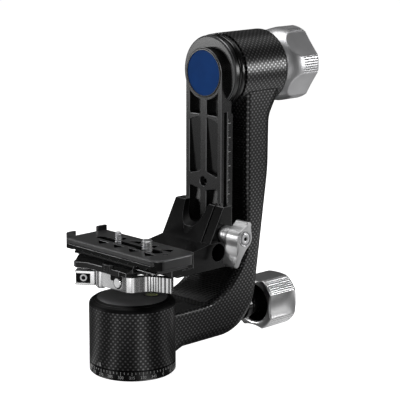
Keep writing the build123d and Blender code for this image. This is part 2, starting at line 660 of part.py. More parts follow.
def make_pan_grip():
    grip = rod(PAN_KNOB_R, PAN_KNOB_FRONT, PAN_KNOB_REAR, "X", pan_knob_at)
    grip = chamfer(grip.edges().group_by(Axis.X)[-1], KNOB_EDGE)
    for cutter in side_cutters(PAN_KNOB_R, PAN_LOBES, PAN_LOBE_HALF_ANGLE, PAN_SIDE_DIPS,
                               (PAN_KNOB_FRONT - 1, PAN_KNOB_REAR + 1), PAN_FIRST_LOBE, pan_knob_at):
        grip -= cutter
    inside = PAN_KNOB_R - PAN_KNOB_WALL
    grip -= rod(inside, PAN_KNOB_FRONT - 1, PAN_KNOB_REAR - PAN_KNOB_BACK, "X", pan_knob_at)
    grip += rod(PAN_HUB_R, PAN_HUB_FRONT, PAN_KNOB_REAR - PAN_KNOB_BACK + 1, "X", pan_knob_at)
    grip -= rod(PAN_SHAFT_R + SEAT, 0, pan_shaft_end + SEAT, "X", pan_knob_at)
    return grip - rod(KNOB_CAP_R + SEAT, PAN_KNOB_REAR - KNOB_CAP_T, PAN_KNOB_REAR + 1, "X", pan_knob_at)


def make_knob_cap(rear, at):
    cap = rod(KNOB_CAP_R, rear - KNOB_CAP_T + SEAT, rear + 0.3, "X", at)
    return chamfer(cap.edges().group_by(Axis.X)[-1], 0.5)


# ================================================================ tilt brake and tilt knob
spindle_rear_x = TILT_REAR_RACE_X + RACE_H + TILT_NUT_L + 0.5
brake_x = spindle_rear_x + BRAKE_GAP


def make_tilt_brake():
    disc = rod(TILT_BRAKE_R, brake_x, brake_x + TILT_BRAKE_T, "X", tilt_at)
    half = TILT_BRAKE_HUB / 2
    hub = block((brake_x + 1, brake_x + TILT_BRAKE_T + TILT_BRAKE_HUB_L), (-half, half),
                (TILT_Z - half, TILT_Z + half))
    return disc + hub - rod(KNOB_THREAD_R + RUN, 0, TILT_REAR_X, "X", tilt_at)


def make_tilt_shaft():
    shoulder = brake_x + TILT_BRAKE_T + TILT_BRAKE_HUB_L + 0.4
    shaft = rod(KNOB_THREAD_R, brake_x + 0.6, shoulder + 1, "X", tilt_at)
    return shaft + rod(TILT_SHAFT_R, shoulder, tilt_shaft_end, "X", tilt_at)


def make_tilt_grip():
    shoulder = (TILT_KNOB_SHOULDER_X, TILT_KNOB_R)
    curve = ThreePointArc((TILT_KNOB_FRONT, TILT_KNOB_FRONT_R), (TILT_KNOB_BULGE_X, TILT_KNOB_BULGE_R),
                          shoulder)
    rest = Polyline(shoulder, (TILT_KNOB_REAR - KNOB_EDGE, TILT_KNOB_R),
                    (TILT_KNOB_REAR, TILT_KNOB_R - KNOB_EDGE), (TILT_KNOB_REAR, 0), (TILT_KNOB_FRONT, 0),
                    curve @ 0)
    grip = Pos(0, 0, TILT_Z) * revolve(Plane.XY * make_face(curve + rest), Axis.X)
    for cutter in side_cutters(TILT_KNOB_R, TILT_LOBES, TILT_LOBE_HALF_ANGLE, TILT_SIDE_DIPS,
                               (TILT_KNOB_FRONT - 1, TILT_KNOB_REAR + 1), TILT_FIRST_LOBE, tilt_at):
        grip -= cutter
    grip -= rod(TILT_SHAFT_R + SEAT, 0, tilt_shaft_end + SEAT, "X", tilt_at)
    return grip - rod(KNOB_CAP_R + SEAT, TILT_KNOB_REAR - KNOB_CAP_T, TILT_KNOB_REAR + 1, "X", tilt_at)


# ================================================================ swing arm
bolt_spots = [(a, b + TILT_Z) for a, b in around(BOLTS, BOLT_PCD, 90)]
badge_floor = BAR_FRONT + BADGE_RECESS


def pocket(outline, depths):
    """Tool for one pocket in the bar's face: its Y and Z outline, and its depths at the low and high ends."""
    low = min(z for y, z in outline)
    high = max(z for y, z in outline)
    front = BAR_FRONT - 1
    across = Plane(origin=(front, 0, 0), x_dir=(0, 1, 0), z_dir=(1, 0, 0))
    rounded = FilletPolyline(*outline, radius=POCKET_ROUND, close=True)
    tool = extrude(across * make_face(rounded), 1 + max(depths))
    floor = [(front - 1, low - 1), (BAR_FRONT + depths[0], low - 1), (BAR_FRONT + depths[1], high + 1),
             (front - 1, high + 1)]
    return tool & prism_y(floor, -BAR_HALF, BAR_HALF)


def face_pockets():
    """Tools for the lightening pockets on one side of the front face's centre rib."""
    upper = [(POCKET_INNER, CROSS_RIB_Z + 1.0), (POCKET_INNER, TILT_Z - 15), (POCKET_OUTER, TILT_Z - 10),
             (POCKET_OUTER, CROSS_RIB_Z + 0.6)]
    long = [(POCKET_INNER, BAR_SCREW_Z + 9.1), (POCKET_INNER, CROSS_RIB_Z - 1.0),
            (POCKET_OUTER, CROSS_RIB_Z - 5.0), (POCKET_OUTER, BAR_SCREW_Z + 5.5)]
    lower = [(POCKET_INNER, LOWER_POCKET_Z), (POCKET_INNER, BAR_SCREW_Z - 7.9),
             (POCKET_OUTER, BAR_SCREW_Z - 4.9), (POCKET_OUTER, LOWER_POCKET_Z)]
    clear = rod(BADGE_CLEAR_R, 0, BAR_BACK, "X", tilt_at)
    return [pocket(upper, (UPPER_POCKET_DEPTH, UPPER_POCKET_DEPTH)) - clear, pocket(long, LONG_POCKET_DEPTHS),
            pocket(lower, LOWER_POCKET_DEPTHS)]


def make_swing_bar():
    bar = block((BAR_FRONT, BAR_HEAD_BACK), (-BAR_HALF, BAR_HALF), (BAR_BOTTOM, TILT_Z))
    bar += rod(BAR_HALF, BAR_FRONT, BAR_HEAD_BACK, "X", tilt_at)
    bar += block((BAR_HEAD_BACK - 1, BAR_BACK), (-BAR_HALF, BAR_HALF), (BAR_BOTTOM, BAR_BACK_TOP))
    disc = rod(HEAD_DISC_R, HEAD_DISC_FRONT, BAR_HEAD_BACK, "X", tilt_at)
    bar += chamfer(disc.edges().group_by(Axis.X)[0], HEAD_DISC_CHAMFER)
    groove = [(GROOVE_FLANK_X, BAR_HALF), (GROOVE_FLOOR_X, GROOVE_HALF), (GROOVE_BACK_X, GROOVE_HALF),
              (GROOVE_BACK_X, BAR_HALF + 1), (GROOVE_FLANK_X, BAR_HALF + 1)]
    for side in (1, -1):
        bar -= prism_z([(x, side * y) for x, y in groove], BAR_BOTTOM - 1, GROOVE_TOP)
    for tool in face_pockets():
        bar -= tool
        bar -= mirror(tool, about=Plane.XZ)
    bar -= rod(BADGE_R + SEAT, BAR_FRONT - 1, badge_floor, "X", tilt_at)
    bar -= rod(TILT_NOSE_R + SEAT, 0, BAR_BACK + 1, "X", tilt_at)
    for spot in bolt_spots:
        bar -= rod(M4_HEAD_R + SEAT, 0, badge_floor + M4_HEAD_H + 0.4, "X", spot)
        bar -= rod(M4_R + SEAT, 0, BAR_BACK + 1, "X", spot)
    bar -= rod(BAR_SCREW_R + SEAT, 0, BAR_HEAD_BACK, "X", (0, BAR_SCREW_Z))
    return bar - rod(M4_R + SEAT, 0, BAR_BACK - 2, "X", (0, STOP_SCREW_Z))


def make_tilt_spindle():
    flange_x = BAR_HEAD_BACK + SEAT
    thread_x = TILT_REAR_RACE_X + RACE_H + SEAT
    spindle = rod(TILT_NOSE_R, badge_floor + 2, flange_x + 1, "X", tilt_at)
    spindle += rod(TILT_FLANGE_R, flange_x, flange_x + TILT_FLANGE_T, "X", tilt_at)
    spindle += rod(TILT_SPINDLE_R, flange_x, thread_x, "X", tilt_at)
    spindle += rod(TILT_THREAD_R, thread_x - 1, spindle_rear_x, "X", tilt_at)
    for spot in bolt_spots:
        spindle -= rod(M4_R + SEAT, 0, flange_x + TILT_FLANGE_T - 0.4, "X", spot)
    return spindle


def make_spindle_bolts():
    head_x = badge_floor + 0.4
    tip_x = BAR_HEAD_BACK + TILT_FLANGE_T - 0.6
    return [rod(M4_HEAD_R, head_x, head_x + M4_HEAD_H - SEAT, "X", spot) + rod(M4_R, head_x, tip_x, "X", spot)
            for spot in bolt_spots]


def make_badge():
    disc_r = BADGE_R - BADGE_RING_W
    ring = tube(BADGE_R, disc_r, BAR_FRONT - BADGE_RING_PROUD, badge_floor - SEAT, "X", tilt_at)
    disc = rod(disc_r - SEAT, BAR_FRONT + 0.2, badge_floor - SEAT, "X", tilt_at)
    return ring, disc


def make_bar_screw():
    face_x = BAR_FRONT + BAR_SCREW_SINK
    screw = rod(BAR_SCREW_R, face_x, BAR_HEAD_BACK - 1, "X", (0, BAR_SCREW_Z))
    socket_r = BAR_SCREW_R * 0.52
    face = Plane(origin=(face_x, 0, BAR_SCREW_Z), x_dir=(0, 1, 0), z_dir=(1, 0, 0))
    return screw - face * extrude(RegularPolygon(socket_r, 6), 3.5)


def make_stop_screw():
    spot = (0, STOP_SCREW_Z)
    head = rod(STOP_HEAD_R, BAR_FRONT - STOP_HEAD_H, BAR_FRONT - SEAT, "X", spot)
    return head + rod(M4_R, BAR_FRONT - 1, BAR_BACK - 3, "X", spot)


# ================================================================ platform bracket
def bar_channel():
    """Space for the swing bar and its side grooves, with running clearance, seen from above."""
    c = SLIDE
    half = [(BAR_FRONT - c, BAR_HALF + c), (GROOVE_FLANK_X + c / 2, BAR_HALF + c),
            (GROOVE_FLOOR_X + c / 2, GROOVE_HALF + c), (BAR_BACK, GROOVE_HALF + c)]
    return half + [(x, -y) for x, y in reversed(half)]


def bracket_blank():
    """Outline of the bracket with the bar's channel, before it is split into body and cheek."""
    outline = [(SHELF_END_X, BRACKET_BOTTOM), (BRACKET_BACK, BRACKET_BOTTOM), (BRACKET_BACK, BRACKET_TOP),
               (SLOPE_TOP_X, BRACKET_TOP), (SLOPE_FOOT_X, SLOPE_FOOT_Z), (FOOT_STEP_X, FOOT_STEP_Z),
               (FOOT_STEP_X, SHELF_Z), (SHELF_END_X, SHELF_Z)]
    blank = prism_y(outline, -BRACKET_HALF, BRACKET_HALF)
    rear = [e for e in blank.edges().filter_by(Axis.Z) if (e @ 0.5).X > BRACKET_BACK - 0.1]
    blank = chamfer(rear, REAR_CHAMFER)
    return blank - prism_z(bar_channel(), BRACKET_BOTTOM - 1, BRACKET_TOP + 1)


def cheek_space(clearance):
    """Upper corner of the bracket that the clamping cheek fills, grown by a clearance."""
    inner_y = SLIT_Y - SLIT_W / 2 if clearance == 0 else SLIT_Y + SLIT_W / 2
    return block((SLOPE_FOOT_X - 4, BRACKET_BACK + 1), (-BRACKET_HALF - 1, inner_y),
                 (CHEEK_BOTTOM - clearance, BRACKET_TOP + 1))


def make_cheek():
    cheek = bracket_blank() & cheek_space(0)
    cheek -= rod(STUD_R + RUN, -BRACKET_HALF - 1, 0, "Y", (WING_X, WING_Z))
    for spot in CHEEK_PINS:
        cheek -= rod(CHEEK_PIN_R + RUN, -BRACKET_HALF + 1.5, 0, "Y", spot)
    return cheek


def make_cheek_pins():
    return [rod(CHEEK_PIN_R, -BRACKET_HALF + 4, CHEEK_PIN_END, "Y", spot) for spot in CHEEK_PINS]


def make_bracket():
    bracket = bracket_blank() - cheek_space(SLIDE)
    for spot in CHEEK_PINS:
        bracket -= rod(CHEEK_PIN_R + SEAT, -BRACKET_HALF, CHEEK_PIN_END + SEAT, "Y", spot)
    tilt = radians(SCOOP_ANGLE)
    along = (cos(tilt), 0, sin(tilt))
    axis_x = SCOOP_LOW_X - SCOOP_R * sin(tilt)
    axis_z = SCOOP_LOW_Z + SCOOP_R * cos(tilt)
    scoop = Plane(origin=(axis_x, SCOOP_Y, axis_z), z_dir=along) * Cylinder(SCOOP_R, FAR)
    slope = block((0, BAR_BACK), (-BRACKET_HALF, BRACKET_HALF), (SLOPE_FOOT_Z + 0.5, BRACKET_TOP + 30))
    bracket -= scoop & slope
    bracket -= rod(WELL_R, WELL_BOTTOM, BRACKET_TOP + 1, at=(WELL_X, SCOOP_Y - 1))
    bracket -= rod(GUSSET_HOLE_R, -BRACKET_HALF - 1, BRACKET_HALF + 1, "Y", (GUSSET_HOLE_X, GUSSET_HOLE_Z))
    bracket -= rod(STUD_R + RUN, -BRACKET_HALF - 1, STUD_END_Y + 1, "Y", (WING_X, WING_Z))
    slot_half = STOP_HEAD_R + STOP_CLEAR
    slot_x = BAR_FRONT - STOP_HEAD_H - STOP_CLEAR
    bracket -= rod(slot_half, slot_x, BAR_FRONT, "X", (0, STOP_SCREW_Z))
    bracket -= block((slot_x, BAR_FRONT), (-slot_half, slot_half), (BRACKET_BOTTOM - 1, STOP_SCREW_Z))
    for y in (-CLAMP_SCREW_PITCH / 2, CLAMP_SCREW_PITCH / 2):
        spot = (CLAMP_SCREW_X, y)
        bracket -= rod(M5_R + SEAT, BRACKET_BOTTOM - 1, SHELF_Z + 1, at=spot)
        bracket -= rod(M5_HEAD_R + SEAT, BRACKET_BOTTOM - 1, BRACKET_BOTTOM + M5_HEAD_H + 0.3, at=spot)
    return bracket


# ================================================================ wing knob
wing_at = (WING_X, WING_Z)


def wing_blade(reach, angle):
    """One tapered wing from the hub to its round end."""
    ox, oz = sin(radians(angle)), cos(radians(angle))
    widths = [(0, WING_HUB_R - 0.5)] + [pair for pair in WING_WIDTHS if pair[0] < reach - WING_TIP_R]
    widths.append((reach, WING_TIP_R))
    near = [(WING_X + ox * far + oz * half, WING_Z + oz * far - ox * half) for far, half in widths]
    away = [(WING_X + ox * far - oz * half, WING_Z + oz * far + ox * half) for far, half in widths]
    tip = (WING_X + ox * reach, WING_Z + oz * reach)
    blade = prism_y(near + away[::-1], WING_FACE_Y, WING_BACK_Y)
    return blade + rod(WING_TIP_R, WING_FACE_Y, WING_BACK_Y, "Y", tip)


def make_wing():
    wing = rod(WING_HUB_R, WING_FACE_Y, WING_BACK_Y, "Y", wing_at)
    wing += wing_blade(WING_SHORT, WING_TILT) + wing_blade(WING_LONG, WING_TILT + 180)
    wing -= rod(STUD_R + SEAT, WING_FACE_Y + STUD_DEPTH, 0, "Y", wing_at)
    return wing - rod(WING_CAP_R + SEAT, WING_FACE_Y - 1, WING_FACE_Y + 2, "Y", wing_at)


def make_wing_collar():
    back = -BRACKET_HALF - 0.2
    collar = rod(WING_HUB_R, WING_BACK_Y + SEAT, back, "Y", wing_at)
    collar = chamfer(collar.edges().group_by(Axis.Y)[-1], 2.5)
    groove_end = WING_BACK_Y + 2 * WING_GROOVE
    collar -= tube(WING_HUB_R + 1, WING_HUB_R - WING_GROOVE, WING_BACK_Y - 1, groove_end, "Y", wing_at)
    return collar - rod(STUD_R + SEAT, -60, 0, "Y", wing_at)


def make_wing_stud():
    return rod(STUD_R, WING_FACE_Y + STUD_DEPTH + SEAT, STUD_END_Y, "Y", wing_at)


def make_wing_cap():
    cap = rod(WING_CAP_R, WING_FACE_Y - 0.4, WING_FACE_Y + 2 - SEAT, "Y", wing_at)
    return cap - rod(1.6, WING_FACE_Y - 1, WING_FACE_Y + 1, "Y", wing_at)


# ================================================================ clamp
pin_spots = [(y, PIN_Z) for y in PIN_YS]


def raised_end():
    """Space under the clamp's end above the lever's tip."""
    return block((JAW_OUT_X - 20, CLAMP_RELIEF_X), (CLAMP_END_LOW - 1, CLAMP_RELIEF_Y), (0, CLAMP_RELIEF_Z))


def make_clamp_body():
    c = SLIDE
    rear_top = FOOT_STEP_Z - 0.4
    outline = [(JAW_SPLIT_X, CLAMP_BOTTOM), (SHELF_END_X - 0.1, CLAMP_BOTTOM),
               (SHELF_END_X - 0.1, SHELF_Z + SEAT), (CLAMP_REAR_X, SHELF_Z + SEAT), (CLAMP_REAR_X, rear_top),
               (PLATE_HALF + 0.3, rear_top), (PLATE_HALF + 0.3, CLAMP_TOP), (DOVETAIL_WAIST + c, CLAMP_TOP),
               (DOVETAIL_WAIST + c, DOVETAIL_HIGH_Z + c / 2), (DOVETAIL_FOOT + c, DOVETAIL_LOW_Z + c / 2),
               (DOVETAIL_FOOT + c, DOVETAIL_BOTTOM - c), (JAW_SPLIT_X, DOVETAIL_BOTTOM - c)]
    body = prism_y(outline, CLAMP_END_LOW, CLAMP_END_HIGH)
    for ends in ((CLAMP_END_LOW - 1, -BRACKET_HALF), (BRACKET_HALF, CLAMP_END_HIGH + 1)):
        body -= block((SHELF_END_X - 0.1, CLAMP_REAR_X + 1), ends, (0, FAR))
    body -= raised_end()
    for spot in pin_spots:
        body -= rod(PIN_R + SEAT, JAW_SPLIT_X - 1, JAW_SPLIT_X + PIN_REACH, "X", spot)
    body -= rod(LEVER_PIN_R + SEAT, 0, CLAMP_BOTTOM + LEVER_PIN_DEPTH, at=(LEVER_X, LEVER_Y))
    for y in (-CLAMP_SCREW_PITCH / 2, CLAMP_SCREW_PITCH / 2):
        body -= rod(M5_R + SEAT, CLAMP_BOTTOM - 1, DOVETAIL_BOTTOM, at=(CLAMP_SCREW_X, y))
    return body


def make_clamp_screws():
    head_z = BRACKET_BOTTOM + 0.3
    return [rod(M5_HEAD_R, head_z, head_z + M5_HEAD_H - SEAT, at=(CLAMP_SCREW_X, y))
            + rod(M5_R, head_z, DOVETAIL_BOTTOM - 0.5, at=(CLAMP_SCREW_X, y))
            for y in (-CLAMP_SCREW_PITCH / 2, CLAMP_SCREW_PITCH / 2)]


def make_guide_pins():
    start = JAW_OUT_X + JAW_SKIN + PIN_END_GAP
    return [rod(PIN_R, start, JAW_SPLIT_X + PIN_REACH - 0.2, "X", spot) for spot in pin_spots]


def make_clamp_jaw():
    c = SLIDE
    split = JAW_SPLIT_X - JAW_GAP
    ear_x, ear_y = BLOCK_FACE[0]
    outline = [(split, CLAMP_BOTTOM), (ear_x - 1, CLAMP_BOTTOM), (ear_x - 1, CLAMP_TOP),
               (-DOVETAIL_WAIST - c, CLAMP_TOP), (-DOVETAIL_WAIST - c, DOVETAIL_HIGH_Z + c / 2),
               (-DOVETAIL_FOOT - c, DOVETAIL_LOW_Z + c / 2), (-DOVETAIL_FOOT - c, DOVETAIL_BOTTOM - c),
               (split, DOVETAIL_BOTTOM - c)]
    jaw = prism_y(outline, JAW_END_LOW, CLAMP_END_HIGH)
    plan = [(split, JAW_END_LOW), (JAW_OUT_X + JAW_CHAMFER, JAW_END_LOW),
            (JAW_OUT_X, JAW_END_LOW + JAW_CHAMFER), (JAW_OUT_X, BLOCK_FACE[1][1] + 4), (ear_x, ear_y - 1),
            (ear_x + 1.5, ear_y + 3), (JAW_OUT_X, CLAMP_END_HIGH), (split, CLAMP_END_HIGH)]
    jaw &= prism_z(plan, CLAMP_BOTTOM - 1, CLAMP_TOP + 1)
    slope_x, slope_z = JAW_SLOPE_TOP
    above = [(slope_x, CLAMP_TOP + 1), (slope_x, slope_z), (JAW_OUT_X, JAW_SLOPE_FOOT_Z),
             (ear_x - 2, JAW_SLOPE_FOOT_Z), (ear_x - 2, CLAMP_TOP + 1)]
    jaw -= prism_y(above, CLAMP_END_LOW, CLAMP_END_HIGH + 1)
    boss = rod(JAW_BOSS_R, *JAW_BOSS_Z, at=(JAW_BOSS_X, JAW_BOSS_Y))
    jaw += boss - block((JAW_BOSS_X, 0), (-FAR, FAR), (0, FAR))
    jaw -= raised_end()
    for spot in pin_spots:
        jaw -= rod(PIN_R + RUN, JAW_OUT_X + JAW_SKIN, 0, "X", spot)
    return jaw


# ================================================================ lever
lever_at = (LEVER_X, LEVER_Y)
lever_mid = (LEVER_TOP + LEVER_BOTTOM) / 2


def make_lever_block():
    (ax, ay), (bx, by) = BLOCK_FACE
    length = hypot(bx - ax, by - ay)
    along = ((bx - ax) / length, (by - ay) / length)
    deep = (-along[1] * BLOCK_T, along[0] * BLOCK_T)
    bx, by = bx + along[0], by + along[1]
    plan = [(ax, ay), (bx, by), (bx + deep[0], by + deep[1]), (ax + deep[0], ay + deep[1])]
    return prism_z(plan, BLOCK_BOTTOM, LEVER_TOP) - rod(BARREL_R + SEAT, 0, FAR, at=lever_at)


def make_lever_handle():
    handle = prism_z(HANDLE_FRONT + HANDLE_BACK, LEVER_BOTTOM + HANDLE_DROP, LEVER_TOP - HANDLE_DROP)
    handle += rod(BARREL_R, LEVER_BOTTOM, LEVER_TOP, at=lever_at)
    handle -= rod(LEVER_PIN_R + RUN, 0, FAR, at=lever_at)
    return handle - rod(BUTTON_R + RUN, -40, 0, "X", (BUTTON_Y, lever_mid))


def make_lever_pin():
    pin = rod(LEVER_PIN_R, LEVER_BOTTOM - 0.5, CLAMP_BOTTOM + LEVER_PIN_DEPTH - 0.3, at=lever_at)
    return pin + rod(LEVER_PIN_R + 1.4, LEVER_BOTTOM - 1.5, LEVER_BOTTOM - 0.2, at=lever_at)


def make_lock_button():
    (ax, ay), (bx, by) = HANDLE_FRONT[:2]
    face_x = ax + (bx - ax) * (BUTTON_Y - ay) / (by - ay)
    button = rod(BUTTON_R, face_x - BUTTON_PROUD, face_x + BUTTON_L, "X", (BUTTON_Y, lever_mid))
    return chamfer(button.edges().group_by(Axis.X)[0], 0.6)


# ================================================================ camera plate
def long_hole(half_width, ends, low, high):
    """Slot with round ends along Y, cut between two heights."""
    hole = block((-half_width, half_width), ends, (low, high))
    return hole + rod(half_width, low, high, at=(0, ends[0])) + rod(half_width, low, high, at=(0, ends[1]))


def make_plate():
    middle = (PLATE_LOW_Y + PLATE_HIGH_Y) / 2
    footprint = block((-PLATE_HALF, PLATE_HALF), (PLATE_LOW_Y, PLATE_HIGH_Y),
                      (PLATE_FLANGE_BOTTOM, PLATE_TOP + LIP_H))
    corners = footprint.edges().filter_by(Axis.Z)
    footprint = fillet([e for e in corners if (e @ 0.5).Y < middle], PLATE_CORNER_R)
    corners = [e for e in footprint.edges().filter_by(Axis.Z) if (e @ 0.5).Y > PLATE_HIGH_Y - 0.1]
    footprint = fillet(corners, PLATE_SMALL_CORNER_R)
    plate = footprint - block((-FAR, FAR), (-FAR, FAR), (PLATE_TOP, FAR))
    plate = chamfer(plate.edges().group_by(Axis.Z)[-1], PLATE_BEVEL)
    for side in (-1, 1):
        inner, outer = side * (PLATE_HALF - LIP_W), side * (PLATE_HALF + 1)
        lip = block((min(inner, outer), max(inner, outer)), (PLATE_HIGH_Y - LIP_T, PLATE_HIGH_Y + 1),
                    (PLATE_TOP - 2, PLATE_TOP + LIP_H))
        plate += lip & footprint
    foot = [(-DOVETAIL_WAIST, PLATE_FLANGE_BOTTOM + 1), (-DOVETAIL_WAIST, DOVETAIL_HIGH_Z),
            (-DOVETAIL_FOOT, DOVETAIL_LOW_Z), (-DOVETAIL_FOOT, DOVETAIL_BOTTOM)]
    plate += prism_y(foot + [(-x, z) for x, z in reversed(foot)], PLATE_LOW_Y + DOVETAIL_INSET,
                     PLATE_HIGH_Y - DOVETAIL_INSET)
    for radius, ends in ((SMALL_SCREW_R, SMALL_SLOT), (LARGE_SCREW_R, LARGE_SLOT)):
        plate -= long_hole(radius + SLOT_CLEAR, ends, DOVETAIL_BOTTOM - 1, PLATE_TOP + 1)
        plate -= long_hole(radius + SCREW_HEAD_OVER + SLOT_CLEAR, ends, DOVETAIL_BOTTOM - 1, HEAD_ROOM_Z)
    half_w = SIDE_GROOVE_W / 2
    groove = [(PLATE_HALF + 1, SIDE_GROOVE_Z - half_w - 0.7), (PLATE_HALF, SIDE_GROOVE_Z - half_w),
              (PLATE_HALF - SIDE_GROOVE_DEPTH, SIDE_GROOVE_Z), (PLATE_HALF, SIDE_GROOVE_Z + half_w),
              (PLATE_HALF + 1, SIDE_GROOVE_Z + half_w + 0.7)]
    for outline in (groove, mirrored(groove)):
        plate -= prism_y(outline, PLATE_LOW_Y - 1, PLATE_HIGH_Y + 1)
    first_notch = middle - NOTCH_PITCH * (NOTCH_COUNT - 1) / 2
    for i in range(NOTCH_COUNT):
        notch = (first_notch + NOTCH_PITCH * i, PLATE_FLANGE_BOTTOM - NOTCH_R / 3)
        for side in (-1, 1):
            inner, outer = side * (PLATE_HALF - NOTCH_DEPTH), side * (PLATE_HALF + 1)
            plate -= rod(NOTCH_R, min(inner, outer), max(inner, outer), "X", notch)
    for side in (-1, 1):
        for low in TRIANGLE_STARTS:
            inner, outer = side * TRIANGLE_INNER, side * TRIANGLE_OUTER
            plan = [(inner, low), (outer, low + TRIANGLE_L * 0.28), (inner, low + TRIANGLE_L)]
            plate -= prism_z(plan, PLATE_TOP - TRIANGLE_DEPTH, PLATE_TOP + 1)
    return plate - rod(LOCK_PIN_R + SEAT, 0, FAR, at=(0, LOCK_PIN_Y))


def make_camera_screw(radius, y, proud):
    head_top = HEAD_ROOM_Z - SEAT
    head = rod(radius + SCREW_HEAD_OVER, head_top - SCREW_HEAD_H, head_top, at=(0, y))
    thread_z = PLATE_TOP + SCREW_NECK_UP
    shaft = rod(radius, thread_z, PLATE_TOP + proud, at=(0, y))
    shaft = chamfer(shaft.edges().group_by(Axis.Z)[-1], 0.7)
    shaft += rod(radius - SCREW_NECK, head_top - 1, thread_z + 1, at=(0, y))
    coin_slot = block((-0.8, 0.8), (y - 10, y + 10), (0, head_top - SCREW_HEAD_H + 1.4))
    return head + shaft - coin_slot


def make_lock_pin():
    return rod(LOCK_PIN_R, DOVETAIL_BOTTOM + 0.6, PLATE_TOP - 0.8, at=(0, LOCK_PIN_Y))


# ================================================================ the nodes
os.makedirs("parts", exist_ok=True)
save("index_ring", make_index_ring())
save("thread_insert", tube(INSERT_R, THREAD_R, 0, INSERT_H))
save("pan_spindle", make_spindle())
save("spindle_screws", make_spindle_screws())
save("pan_bearing_inner_rings", pan_inner)
pan_nut_z = PAN_UPPER_Z + RACE_H + 2 * SEAT
save("pan_spindle_nut", make_nut(SPINDLE_THREAD_R, NUT_WALL, pan_nut_z, NUT_H, "Z", (0, 0)))

save("arm_shell", make_arm_shell())
save("arm_liner", make_liner())
save("leg_fairing", make_fairing())
save("pan_collar", make_pan_collar())
save("pan_cap", make_pan_cap())
level_ring, level_vial = make_level()
save("level_ring", level_ring)
save("level_vial", level_vial)
save("pan_bearing_outer_rings", pan_outer)
save("pan_bearing_balls", ball_ring(PAN_BALLS, pan_pitch, pan_ball, pan_centres, "Z", (0, 0)))
save("tilt_bearing_outer_rings", tilt_outer)
save("tilt_bearing_balls", ball_ring(TILT_BALLS, tilt_pitch, tilt_ball, tilt_centres, "X", tilt_at))
save("tilt_collar", make_tilt_collar())
save("tilt_rear_cover", make_rear_cover())
save("rear_cover_screws", make_cover_screws())
save("pan_knob_collar", make_knob_collar())

save("pan_brake_shoe", make_brake_shoe())
save("pan_knob_grip", make_pan_grip())
save("pan_knob_shaft", make_pan_shaft())
save("pan_knob_spacer", make_pan_spacer())
save("pan_knob_cap", make_knob_cap(PAN_KNOB_REAR, pan_knob_at))

save("tilt_brake_disc", make_tilt_brake())
save("tilt_knob_grip", make_tilt_grip())
save("tilt_knob_shaft", make_tilt_shaft())
save("tilt_knob_cap", make_knob_cap(TILT_KNOB_REAR, tilt_at))

save("swing_bar", make_swing_bar())
badge_ring, badge_disc = make_badge()
save("badge_ring", badge_ring)
save("badge_disc", badge_disc)
save("tilt_spindle", make_tilt_spindle())
save("head_bolts", make_spindle_bolts())
save("tilt_bearing_inner_rings", tilt_inner)
tilt_nut_x = TILT_REAR_RACE_X + RACE_H + 2 * SEAT
save("tilt_spindle_nut", make_nut(TILT_THREAD_R, TILT_NUT_WALL, tilt_nut_x, TILT_NUT_L, "X", tilt_at))
save("bar_screw", make_bar_screw())
save("bar_stop_screw", make_stop_screw())

save("bracket_body", make_bracket())
save("cheek_pins", make_cheek_pins())
save("bracket_cheek", make_cheek())
save("wing_knob_grip", make_wing())
save("wing_knob_collar", make_wing_collar())
save("wing_knob_stud", make_wing_stud())
save("wing_knob_cap", make_wing_cap())

save("clamp_body", make_clamp_body())
save("clamp_screws", make_clamp_screws())
save("jaw_guide_pins", make_guide_pins())
save("clamp_jaw", make_clamp_jaw())
save("lever_pin", make_lever_pin())
save("lever_handle", make_lever_handle())
save("lever_block", make_lever_block())
save("lock_button", make_lock_button())

save("camera_plate", make_plate())
save("plate_lock_pin", make_lock_pin())
save("small_camera_screw", make_camera_screw(SMALL_SCREW_R, SMALL_SCREW_Y, SMALL_SCREW_UP))
save("large_camera_screw", make_camera_screw(LARGE_SCREW_R, LARGE_SCREW_Y, LARGE_SCREW_UP))
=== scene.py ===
from math import atan2, cos, degrees, hypot, pi, radians, sin, sqrt

import bmesh
import bpy
from mathutils import Matrix, Vector


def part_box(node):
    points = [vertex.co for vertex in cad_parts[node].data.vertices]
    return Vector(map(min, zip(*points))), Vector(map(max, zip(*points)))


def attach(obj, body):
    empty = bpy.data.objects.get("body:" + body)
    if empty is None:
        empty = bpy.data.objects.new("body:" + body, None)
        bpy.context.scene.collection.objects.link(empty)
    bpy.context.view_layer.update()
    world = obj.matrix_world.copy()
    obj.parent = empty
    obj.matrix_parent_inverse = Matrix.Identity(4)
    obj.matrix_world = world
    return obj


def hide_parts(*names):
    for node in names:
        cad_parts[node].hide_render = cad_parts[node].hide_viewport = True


bl_info = {
    "name": "Gimbal Tripod Head",
    "version": (1, 0, 0),
    "blender": (4, 5, 0),
    "location": "View3D > Sidebar > Tripod Head",
    "description": "Builds the finishes and fine forms of a gimbal tripod head around its solids",
    "category": "Object",
}

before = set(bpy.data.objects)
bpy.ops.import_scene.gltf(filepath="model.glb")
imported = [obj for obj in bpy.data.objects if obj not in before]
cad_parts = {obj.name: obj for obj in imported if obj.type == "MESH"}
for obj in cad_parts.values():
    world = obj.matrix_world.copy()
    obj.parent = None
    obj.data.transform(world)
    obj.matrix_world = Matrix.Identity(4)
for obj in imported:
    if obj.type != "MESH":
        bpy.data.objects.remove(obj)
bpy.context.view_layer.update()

MM = 0.001      # metres in a millimetre; places and sizes below are in millimetres


def middle_of(node, axes):
    """Middle of a solid along each of the named axes."""
    low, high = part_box(node)
    return tuple(round((low["XYZ".index(axis)] + high["XYZ".index(axis)]) / 2 / MM, 1) for axis in axes)


def reach_of(node, axis):
    """Where a solid starts and ends along an axis."""
    return tuple(round(corner["XYZ".index(axis)] / MM, 1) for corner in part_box(node))


